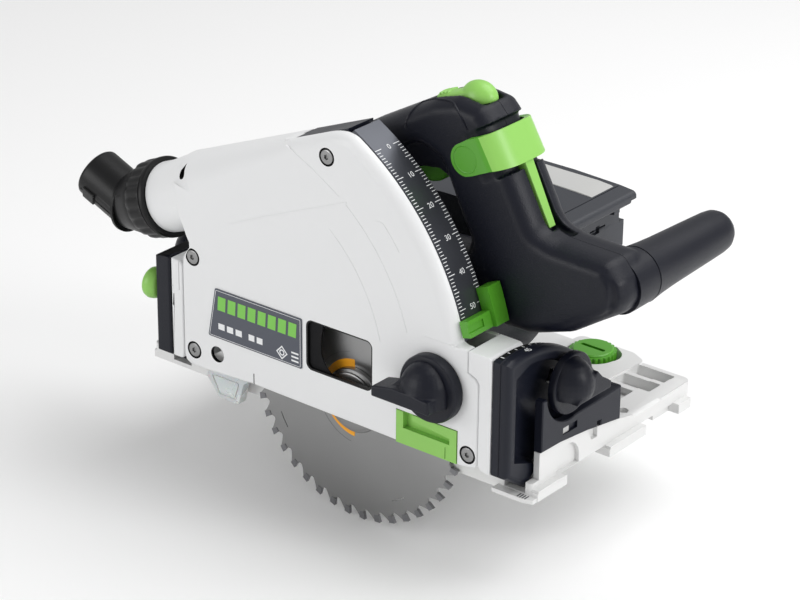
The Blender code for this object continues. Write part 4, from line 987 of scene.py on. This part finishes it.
def wrap(name, front, half, wide, low, high):
    """A solid round the post: straight sides and an elliptical front, between two heights along it."""
    rings = []
    for up in (low, high):
        section = [(130, -half)]
        for sign, start in ((-1, 70), (1, 0)):
            for k in range(8):
                a = radians(abs(start - 10 * k))
                y = sign * (7 + (half - 7) * sin(a) / sin(radians(70)))
                section.append((front - wide * (1 - cos(a)), y))
        section.append((130, half))
        ring = []
        for out, y in section:
            x, z = on_post(out, up)
            ring.append(Vector((x, SEAM_Y + y, z)))
        rings.append(ring)
    return skin(name, rings, "navy")


def lever_groove():
    box = [on_post(150, BAND_LOW - 0.7), on_post(190, BAND_LOW - 0.7), on_post(190, BAND_HIGH + 5.4),
        on_post(150, BAND_HIGH + 5.4)]
    groove = prism("lever_groove", box, "Y", 10, 80)
    return cut(groove, wrap("core", 166.4, 19.6, 10.6, 90, 170))


def surface_spots(piece, spots):
    """Points of a surface straight behind (x, z) spots, seen from the blade side."""
    tree = BVHTree.FromObject(piece, bpy.context.evaluated_depsgraph_get())
    found = []
    for x, z in spots:
        start = (Vector((x, -200, z)) - BASE_MIDDLE) * MM
        hit = tree.ray_cast(start, Vector((0, 1, 0)))[0]
        if hit:
            found.append(hit / MM + BASE_MIDDLE)
    return found


def handle_half(name, side):
    half = loft(name, half_layers(side, HANDLE, 1), "Y", "navy")
    if side > 0:
        x, z = SIDE_HANDLE
        flare = [(41, 0), (41, 17.2), (50, 17.3), (57, 17.2), (66.5, 17.1), (66.5, 0)]
        join(half, turned("flare", flare, (x, 0, z), ACROSS, 56, "navy"))
        web = [(96, 62.5), (112, 63.5), (126, 64.9), (140, 64.9), (146, 50), (104, 50)]
        join(half, prism("web", web, "Z", 112, 139, "navy"))
    room = half_layers(side, GRIP_ROOM, -1)
    room[0] = (SEAM_Y - side * 8, room[0][1])
    room.append((SEAM_Y + side * 24, room[-1][1]))
    cut(half, loft("room", room, "Y"))
    cheek = [(-22, 166), (-8, 176), (30, 194), (50, 178), (44, 168.5), (35.5, 172.4), (24, 171.0), (8, 165),
        (-14, 152)]
    join(half, prism("cheek", cheek, "Y", *sorted((SEAM_Y + side * 8, SEAM_Y + side * 14.5)), "navy"))
    slot = [on_post(161.5, 73.4), on_post(185, 73.4), on_post(185, BAND_LOW), on_post(162.5, BAND_LOW + 6)]
    cut(half, prism("switch_room", [(-6, 160), (0, 190), (37, 205), (50, 182), (36, 165)], "Y", 36.4, 53.6),
        prism("thumb_room", [(30, 207), (22.5, 212.4), (60, 232), (72, 222.6), (60, 214)], "Y", 35.4, 54.6),
        lever_groove(), prism("arm_slot", slot, "Y", 40.2, 51.6), prism("slot_foot",
        [(100, 150), (104, 158), (112, 156), (119, 150), (119, 145.6), (108, 146)], "Y", 46, 52.5))
    if side < 0:
        path = [(137, 145.5), (146, 146.0), (154, 145.2), (159.6, 141.2), (162.0, 134.5), (162, 124.5),
            (158.4, 116), (150, 110)]
        valley = sweep("valley", [Vector((x, 26.0, z)) for x, z in path], 3.2, "navy", 12)
        cut(half, valley)
    melt(one_look(half), 0.9, 4, 0.4)
    beyond = sorted((SEAM_Y + side * 0.15, SEAM_Y - side * 12))
    cut(half, prism("beyond", rectangle(-100, 60, 220, 260), "Y", *beyond))
    if side > 0:
        cut(half, prism("end", rectangle(100, 90, 200, 170), "Y", 64.9, 80))
    half.data.shade_smooth()
    half.data.set_sharp_from_angle(angle=radians(60))
    return half


def handle():
    right = handle_half("handle_right_half", -1)
    spots = [(14.6, 194), (15.4, 201), (18, 207.4), (23, 211.4), (30, 213.4), (44, 216.2), (50, 214.6),
        (55, 210), (59, 204)]
    path = surface_spots(right, rounded_line(spots))
    bead = sweep("bead", path, 0.7, "navy")
    fit(merged("grip_beads", [bead], "navy"), "motor_unit")
    fit(right, "motor_unit", "handle_right_half")
    fit(handle_half("handle_left_half", 1), "motor_unit", "handle_left_half")

    x, z = SIDE_HANDLE
    profile = [(65.4, 0), (65.4, 17.3), (70, 16.8), (78, 16.1), (90, 15.4), (110, 14.7), (130, 14.0),
        (142, 13.5), (147, 12.9), (150.3, 11.4), (152.2, 9.2), (152.9, 7.2), (153, 0)]
    grip = turned("side_handle", profile, (x, 0, z), ACROSS, 72, "navy", sharp=60)
    fit(grip, "motor_unit", "side_handle")


def rounded_line(points):
    """A smooth open line through points."""
    steps = 4
    result = []
    for i in range(len(points) - 1):
        before = Vector(points[max(i - 1, 0)])
        start = Vector(points[i])
        stop = Vector(points[i + 1])
        after = Vector(points[min(i + 2, len(points) - 1)])
        for k in range(steps):
            t = k / steps
            spot = (2 * start + (stop - before) * t + (2 * before - 5 * start + 4 * stop - after) * t * t
                + (3 * start - before - 3 * stop + after) * t ** 3) / 2
            result.append(tuple(spot))
    result.append(tuple(points[-1]))
    return result


def change_lever():
    x, z = LEVER_PIVOT
    side = arc(x, z, 10, 112, 275, 18)
    side += [(67.6, 179.6), (73, 182.2), (79, 184.9), on_post(166.5, BAND_LOW + 3.8), on_post(180, BAND_LOW)]
    side += [on_post(180, BAND_HIGH), on_post(166, BAND_HIGH + 0.6), (70.6, 203.4), (63, 200.6)]
    band = wrap("blade_change_lever", 172.6, 25.5, 17.6, 95, 160)
    cut(band, wrap("inside", 169.4, 20.5, 13.8, 80, 170))
    combine(band, [prism("side", side, "Y", 10, 80)], "INTERSECT")
    for y, facing in ((19.5, 1), (70.5, -1)):
        dish = turned("dish", [(-3, 0), (-3, 9.6), (0, 8.4), (0.55, 8.0), (0.8, 7.4), (0.8, 0)], (x, y, z),
            (0, facing, 0), 48, "green")
        cut(band, dish)
    soften(band, 0.55, 3, 30, 50)
    arm_rings = []
    for out_low, out_high, up, low_y, high_y in ((164.5, 171.6, BAND_LOW + 3, 41.2, 48.9),
            (162.8, 168.4, 75.6, 42.4, 48.2)):
        ring = []
        for out, y in ((out_low, low_y), (out_high, low_y), (out_high, high_y), (out_low, high_y)):
            px, pz = on_post(out, up)
            ring.append(Vector((px, y, pz)))
        arm_rings.append(ring)
    arm = soften(skin("lever_arm", arm_rings, "light_green"), 0.5, 3)
    lever = merged("blade_change_lever", [band, arm], "light_green")
    paint_lever(lever)
    fit(lever, "change_lever", "blade_change_lever")


def paint_lever(lever):
    """Mid green cheeks, light green band and arm."""
    lever.data.materials.append(finish("green"))
    for face in lever.data.polygons:
        spot = face.center / MM + BASE_MIDDLE
        out = spot.x * POST_NORMAL.x + spot.z * POST_NORMAL.y
        if out < 163.6 and abs(spot.y - SEAM_Y) > 15:
            face.material_index = 1


def grip_controls():
    egg = ellipsoid("plunge_release_slide", (52.6, 45, 216.2), (11.6, 9.2, 10.2), "light_green", 40)
    tail_rings = []
    for x, top, half in ((23.5, 211.6, 2.6), (25, 212.9, 4.4), (30, 214.9, 6.0), (36, 217.2, 7.0),
            (42, 219.8, 8.0), (50, 222.5, 8.0)):
        ring = []
        for k in range(13):
            a = pi * k / 12
            ring.append(Vector((x, SEAM_Y + half * cos(a), top - 3 + 3 * sin(a) ** 0.8)))
        ring += [Vector((x, SEAM_Y - half, top - 7)), Vector((x, SEAM_Y + half, top - 7))]
        tail_rings.append(ring)
    join(egg, skin("tail", tail_rings, "light_green"))
    for k in range(3):
        x = 27.5 + 2.6 * k
        z = 213.8 + 0.4 * (x - 27.5)
        ridge = [Vector((x, SEAM_Y - 5 + 2 * i, z + 0.4 * (1 - ((i - 2.5) / 2.5) ** 2))) for i in range(6)]
        join(egg, sweep("ridge", ridge, 0.7, "light_green", 8))
    floor_line = [(10, 190), (10, 204.4), (33, 213.6), (42, 214.2), (48.6, 212.2), (66, 217.2), (80, 224),
        (80, 190)]
    cut(egg, prism("under", floor_line, "Y", 20, 70))
    melt(egg, 0.4, 4, 0.35)
    fit(egg, "thumb_slide", "plunge_release_slide")

    side = [(5, 171), (9, 178.5), (42, 190), (45.5, 182), (37.5, 169), (31, 161), (23, 158.6), (11, 163)]
    trigger = prism("trigger", rounded(side, [2, 2, 2, 2, 6, 8, 8, 6], 4), "Y", 37.2, 52.8, "green")
    soften(trigger, 2.4, 4)
    fit(trigger, "trigger_lever", "trigger")
    switch = prism("switch_module", [(4, 190), (33, 202), (36, 195.5), (7, 184)], "Y", 36, 54, "black")
    fit(soften(switch, 0.6), "motor_unit", "switch_module", slot="grey_plastic")


# Battery and motor ------------------------------------------------------------------------------------------


def battery():
    side = [(-40, 92.6), (77.6, 92.6), (77.6, 123.4), (86, 123.6), (86, 130.4), (74, 131.6), (40, 132.8),
        (0, 132.6), (-34, 130.4), (-40, 126)]
    body = prism("battery_pack", rounded(side, [2, 1, 1, 2, 3, 12, 30, 30, 6, 4], 4), "Y", 80.2, 159.8,
        "pack_dark")
    cut(body, prism("lip_end", [(70, 110), (70, 125.8), (79, 126.4), (90, 126), (90, 110)], "Y", 154.5,
        170), prism("seam", rectangle(73.6, 60, 74.3, 158), "Z", 130.6, 140),
        prism("side_notch", rectangle(60, 117.4, 66, 121.8), "Y", 70, 82.6),
        prism("notch", rectangle(76, 112, 90, 113.2), "Y", 124, 140))
    for y, z in ((128, 118.2), (124, 109.4)):
        cut(body, prism("notch", rectangle(y, z, y + 10, z + 2.2), "X", 75.5, 90))
        cut(body, prism("notch", rectangle(y + 6, z, y + 10, z + 5), "X", 75.5, 90))
    cut(body, prism("rail_seat", rectangle(-50, 80, 100, 94), "Y", 92, 148))
    soften(body, 0.6, 3)
    hook = prism("hook", [(79, 120.8), (79, 124.4), (85.2, 124.4), (85.2, 121.6)], "Y", 138, 144, "pack_dark")
    shell = merged("battery_pack", [body, soften(hook, 0.4)], "pack_dark")
    fit(shell, "battery", "battery_pack")
    panel_rings = []
    for x, z in ((-34, 130.6), (-30, 131.2), (0, 133.0), (20, 133.3), (40, 133.2), (60, 132.6), (70, 132.1),
            (72.4, 131.8)):
        z = min(z, 133.0)
        panel_rings.append([Vector((x, 131.8, z - 0.6)), Vector((x, 132.2, z)), Vector((x, 154.0, z)),
            Vector((x, 157.6, z - 0.8)), Vector((x, 159.9, z - 3.0)), Vector((x, 159.9, z - 7)),
            Vector((x, 131.8, z - 7))])
    panel = skin("battery_top", panel_rings, "pack_light")
    fit(panel, "battery")
    latch = slab("battery_latch", rounded(rectangle(-52, 108, -40.6, 126), [3, 1, 1, 3], 3), "Y", 90.4,
        111.6, 1.2, "green")
    for k in range(3):
        z = 112 + 4.4 * k
        cut(latch, prism("grip", rectangle(-54, z, -51.2, z + 1.4), "Y", 93, 109))
    fit(soften(latch, 0.2, 2), "latch", "battery_latch")


def motor():
    x, z = MOTOR
    centre = (x, 0, z)
    profile = [(44.4, 0), (44.4, 32.2), (45.2, 33), (60, 33), (60.6, 32.4), (62, 32.4), (62.6, 33),
        (126, 33), (131, 31.8), (135.4, 29.4), (138, 26.4), (138, 0)]
    shell = turned("motor_housing", profile, centre, ACROSS, 80, "navy")
    inside = [(40, 0), (40, 9), (47, 9), (47, 30.4), (127, 30.4), (134, 26.4), (134, 0)]
    cut(shell, turned("motor_room", inside, centre, ACROSS, 48))
    for k in range(4):
        low = z - 15.4 + 6.4 * k
        reach = 17 if k else 12
        vent = rounded(rectangle(x - reach, low, x + reach, low + 2.6), 1.2, 3)
        cut(shell, prism("vent", vent, "Y", 130, 145))
    for k in range(9):
        a = radians(-150 + 12 * k)
        spot = (x + 33 * cos(a), z + 33 * sin(a))
        cut(shell, rod("side_vent", (spot[0], 0, spot[1]), ACROSS, 112, 123, 1.3, 12))
    soften(shell, 0.3, 2)
    fit(shell, "motor_unit", "motor_housing")
    dial_x, dial_z = x, z + 22
    wheel = prism("speed_dial", scalloped(dial_x, dial_z, 18, 8.2, 0.7, 6), "Y", 138.6, 142.4, "green")
    knob = turned("knob", [(142, 0), (142, 6.2), (142.8, 5.6), (143, 0)], (dial_x, 0, dial_z), ACROSS, 40,
        "green")
    mark = prism("mark", rectangle(dial_x - 0.5, dial_z + 1.5, dial_x + 0.5, dial_z + 5.2), "Y", 142.6,
        143.0, "white_ink")
    join(wheel, knob)
    fit(soften(wheel, 0.2, 2), "dial", "speed_dial")
    fit(mark, "dial", slot="green_plastic")
    for name, look in (("stator", "copper"), ("rotor", "steel"), ("rotor_bearing", "steel"),
            ("spindle_bearing", "steel"), ("motor_pinion", "steel"), ("cooling_fan", "black"),
            ("control_board", "green"), ("gear_case", "cast"), ("inner_plate", "cast"),
            ("plunge_pivot_pin", "steel"), ("flap_pin", "steel"), ("plunge_spring", "steel"),
            ("battery_dock", "navy")):
        keep_node(name, look, 0.3 if name not in ("plunge_spring", "rotor_bearing") else 0)


# Base -------------------------------------------------------------------------------------------------------


def base_plate():
    outline = [(-168, 2.2), (-34, 2.2), (-34, 46), (34, 46), (34, 2.2), (128, 2.2), (128, 160), (121, 168),
        (96, 175), (-160, 175), (-168, 167)]
    plate = prism("base_plate", rounded(outline, [3, 2, 2, 2, 2, 2, 4, 4, 4, 4, 4]), "Z", 4.5, 10, "cast")
    runners = ((-168, 2.2, -34, 31), (34, 2.2, 132.5, 31), (-168, 74, 132.5, 112), (-168, 130, 132.5, 160),
        (-168, 164, 90, 175), (-168, 46, 100, 66))
    rail = [(109, 4), (109, 14), (110, 15), (125.5, 15), (128, 13), (128, 4)]
    wall = [(9, 8), (9, 27.4), (28, 27.0), (55, 24.0), (88, 18.6), (104, 15), (104, 8)]
    lip = [(104, -4), (126, -4), (132, -2), (132, 31), (104, 31)]
    added = [("runner", rectangle(*corners), "Z", 0, 5) for corners in runners]
    added += [("rail", rail, "Y", 18, 158), ("wall", wall, "X", 124, 128), ("lip", lip, "Z", 0, 2.6)]
    for low, high in ((3, 31), (75, 112), (147, 160)):
        added.append(("front_step", rectangle(120, low, 132.4, high), "Z", 0, 6.4))
    front_cam = [(36, 136), (88, 128), (92, 168), (80, 174), (40, 174)]
    rear_cam = [(-146, 136), (-96, 136), (-96, 174), (-146, 174)]
    added.append(("pocket_block", rounded(rectangle(86, 131, 127.8, 167), 5), "Z", 4, 14.6))
    added += [("cam_block", rounded(front_cam, 5), "Z", 4, 15.4), ("cam_block", rounded(rear_cam, 6), "Z",
        4, 15.4)]
    join(plate, *[prism(*item, "cast") for item in added])
    for middle in (116, -144):
        low, high = middle - 7.5, middle + 7.5
        cut(plate, prism("quadrant_slot", rectangle(low, -20, high, 15.5), "Z", 2.8, 60),
            prism("rail_slot", rectangle(low, 15, high, 93), "Z", 9.8, 60))
    cut(plate, prism("bracket_room", rectangle(98, 20, 109, 64), "Z", 10, 40),
        prism("channel", rectangle(125, 31, 140, 74), "Z", -1, 6), prism("channel",
        rectangle(125, 112, 140, 147), "Z", -1, 6), prism("groove", rectangle(-180, 112, 125.5, 130), "Z",
        -1, 4.6), prism("notch", [(52, 30), (61, 15.4), (66.5, 15.4), (66.5, 30)], "X", 125.4, 140))
    scallop = [(48.5, 6.2), (48.5, 11)] + arc(37, 11, 11.5, 0, 180, 24) + [(25.5, 6.2)]
    cut(plate, prism("scallop", scallop, "X", 125.2, 140))
    for low, high in ((135.5, 148.0), (151.5, 163.5)):
        cut(plate, prism("top_pocket", rounded(rectangle(91, low, 118, high), 1.2), "Z", 7.5, 30))
    for k in range(2):
        cut(plate, rod("hole", (119.8 - 96 * k, 105, 0), UPWARD, 8, 30, 3.4, 32))
        cut(plate, rod("dot", (123.4, 101.0 + 3 * k, 0), UPWARD, 13.6, 30, 0.5, 12))
    for _, x, y in RAIL_CAMS:
        well = []
        for k in range(64):
            a = 2 * pi * k / 64
            r = 17.2 + 1.4 * max(0.0, sin(a * 3 + 0.6)) * (1 if cos(a - 0.5) > 0 else 0.3)
            well.append((x + r * cos(a), y + min(r * sin(a), 16.4)))
        cut(plate, prism("cam_well", well, "Z", 3, 30))
        cut(plate, rod("cam_bore", (x, y, 0), UPWARD, -1, 30, 10.2, 32))
    cut(plate, prism("strip_seat", rectangle(-150, 51, 100, 61), "Z", -1, 1.5))
    soften(one_look(plate), 0.5, 2, 40, 45)
    fit(plate, "base", "base_plate")

    marks = []
    for k in range(4):
        marks.append(prism("mark", rectangle(121.5 + 1.8 * k, -3.4, 122.0 + 1.8 * k, 0.6), "Z", 2.4, 2.9,
            "white_ink"))
    fit(merged("cut_marks", marks, "pack_dark"), "base", slot="cast_aluminium")
    strip = slab("glide_strip", rounded(rectangle(-149.6, 51.4, 99.6, 60.6), 2), "Z", 0, 1.2, 0.3, "black")
    fit(strip, "base", "glide_strip")


def tilt_brackets():
    for end, low, high in (("front", 103.0, 108.6), ("rear", -137.0, -131.4)):
        outline = [(22, 10.3), (62, 10.3), (56, 66), (44, 72), (28, 72), (22, 62)]
        bracket = slab(end + "_tilt_bracket", rounded(outline, [1, 1, 4, 5, 5, 4], 4), "X", low, high, 0.8,
            "cast")
        cut(bracket, rod("bolt_hole", (0, *CLAMP), (1, 0, 0), low - 2, high + 2, 4.0, 32))
        fit(bracket, "base", end + "_tilt_bracket")
        keep_node(end + "_clamp_bolt", "steel", 0.3)


def clamp_knobs():
    for end, face, sign in (("front", 125.4, 1), ("rear", -153.4, -1)):
        y, z = CLAMP
        axis = (sign, 0, 0)
        centre = (face, y, z)
        profile = [(0.2, 0), (0.2, 18.0), (0.8, 18.8), (4.4, 19.0), (5.4, 18.4), (5.8, 17.2), (5.8, 0)]
        skirt = turned("skirt", profile, centre, axis, 72, "navy")
        cut(skirt, rod("bore", centre, axis, -1, 4.5, 4.4, 32))
        dome = ellipsoid("dome", (face + sign * 4, y - 3.0, z + 2.0), (16.0, 14.0, 16.0), "navy")
        behind = sorted((face - sign * 40, face + sign * 4))
        ahead = sorted((face - 1, face + sign * 60))
        cut(dome, prism("behind", rectangle(y - 40, z - 40, y + 40, z + 40), "X", *behind))
        cut(dome, prism("under", rectangle(y - 40, z - 40, y + 40, z - 6.4), "X", *ahead))
        wing = [(y - 13, z - 6.4), (y + 20.5, z - 6.4), (y + 21, z - 2.4), (y + 17, z + 0.4),
            (y + 12, z + 3.6), (y + 7, z + 9)]
        join(dome, prism("wing", wing, "X", *sorted((face + sign * 4.2, face + sign * 17.6)), "navy"))
        melt(dome, 0.55, 8, 0.35)
        knob = merged(end + "_clamp_knob", [soften(skirt, 0.2, 2), dome], "navy")
        fit(knob, end + "_clamp", end + "_clamp_knob")


def block_cover():
    y, z = CLAMP
    outline = [(9, 27.8), (28, 27.4), (55, 24.5), (64.4, 22.9), (64.4, 26.6), (68, 26.2), (68, 22.4),
        (88, 19.2), (88, 41.4), (84, 41.0), (62, 40.4)]
    bowl, low_left, low_right = 23.2, 60.5, 40.4
    left = degrees(asin((z - low_left) / bowl))
    right = degrees(asin((z - low_right) / bowl))
    outline += arc(y, z, bowl, -right, -180 + left, 28)
    outline += [(9, low_left)]
    layers = [(123.8, outline), (128.8, outline), (129.4, shrunk(outline, 0.6))]
    block = loft("front_block_cover", layers, "X", "navy_smooth")
    join(block, prism("block_side", rectangle(85.6, 15.3, 88, 41.3), "X", 112, 126, "navy_smooth"))
    cut(block, prism("window", rectangle(29.5, 31.4, 43.6, 35.9), "X", 127.8, 140),
        prism("notch", rounded([(47, 44.5), (54, 48.6), (54, 44.5)], 0.6, 2), "X", 127, 140),
        prism("line", rectangle(47.6, 41.9, 79, 42.3), "X", 129.1, 140),
        prism("line", rectangle(47.6, 41.9, 48.0, 46), "X", 129.1, 140))
    soften(block, 0.25, 2)
    fit(block, "base", "front_block_cover")
    fit(prism("block_window", rectangle(29.7, 31.6, 36.4, 35.7), "X", 127.3, 128.4, "pack_light"), "base",
        slot="navy_plastic")


def rail_cams():
    for end, x, y in RAIL_CAMS:
        body = prism(end + "_rail_cam", scalloped(x, y, 26, 15.0, 1.0, 6), "Z", 3.6, 17.6, "green")
        join(body, turned("cap", [(15, 0), (15, 13.4), (18.4, 13.0), (19, 12.2), (19, 0)], (x, y, 0),
            (0, 0, 1), 64, "green"))
        join(body, rod("stem", (x + 1, y, 0), UPWARD, 0.8, 8, 8.4, 32, "green"))
        cut(body, prism("slot", rounded(rectangle(x - 9, y - 1.3, x + 9, y + 1.3), 1), "Z", 16.5, 25))
        soften(body, 0.25, 2)
        fit(body, end + "_cam", end + "_rail_cam")


blade_cover()
cover_details()
label_plate()
depth_scale()
depth_stop()
top_cap()
cover_screws()
end_housings()
quadrants()
guard_knob()
splinter_guard()
ring_nut()
dust_nozzle()
kickback_flap()
release_button()
blade()
handle()
change_lever()
grip_controls()
battery()
motor()
base_plate()
tilt_brackets()
clamp_knobs()
block_cover()
rail_cams()

# Camera, light and floor ------------------------------------------------------------------------------------


def studio():
    scene = bpy.context.scene
    azimuth = radians(38.59)
    elevation = radians(24.8)
    roll = radians(0.54)
    back = Vector((sin(azimuth) * cos(elevation), -cos(azimuth) * cos(elevation), sin(elevation)))
    right = Vector((cos(azimuth), sin(azimuth), 0))
    up = back.cross(right)
    rolled_right = right * cos(roll) + up * sin(roll)
    rolled_up = up * cos(roll) - right * sin(roll)
    turn = Matrix((rolled_right, rolled_up, back)).transposed()
    camera = bpy.data.objects.new("camera", bpy.data.cameras.new("camera"))
    camera.data.lens = 129.5
    camera.data.sensor_width = 36
    camera.location = Vector((0.9750, -1.1820, 0.7977)) - BASE_MIDDLE * MM
    camera.rotation_mode = "QUATERNION"
    camera.rotation_quaternion = turn.to_quaternion()
    scene.collection.objects.link(camera)
    scene.camera = camera

    floor_mesh = bmesh.new()
    bmesh.ops.create_grid(floor_mesh, x_segments=2, y_segments=2, size=FLOOR_SIZE)
    bmesh.ops.translate(floor_mesh, vec=(0, 0, FLOOR_Z), verts=floor_mesh.verts)
    floor = new_piece("floor", floor_mesh, "paint")
    plain = bpy.data.materials.new("floor_white")
    plain.use_nodes = True
    plain.node_tree.nodes["Principled BSDF"].inputs["Base Color"].default_value = (0.93, 0.93, 0.93, 1)
    plain.node_tree.nodes["Principled BSDF"].inputs["Roughness"].default_value = 0.9
    floor.data.materials[0] = plain

    world = bpy.data.worlds.new("studio")
    scene.world = world
    world.use_nodes = True
    world.node_tree.nodes["Background"].inputs["Color"].default_value = (1, 1, 1, 1)
    world.node_tree.nodes["Background"].inputs["Strength"].default_value = 0.5
    for name, spot, target, size, power in (("key", (0.5, 0.6, 1.5), (0, 0, 0.05), 1.7, 19),
            ("front_fill", (-1.0, -1.9, 0.7), (0, 0, 0.05), 1.2, 13),
            ("right_strip", (1.9, 0.3, 0.9), (0.05, 0.05, 0.05), 0.6, 12)):
        lamp = bpy.data.lights.new(name, "AREA")
        lamp.shape = "DISK"
        lamp.size = size
        lamp.energy = power
        item = bpy.data.objects.new(name, lamp)
        item.location = spot
        item.rotation_mode = "QUATERNION"
        item.rotation_quaternion = (Vector(target) - Vector(spot)).to_track_quat("-Z", "Y")
        scene.collection.objects.link(item)
    scene.view_settings.view_transform = "Standard"


studio()
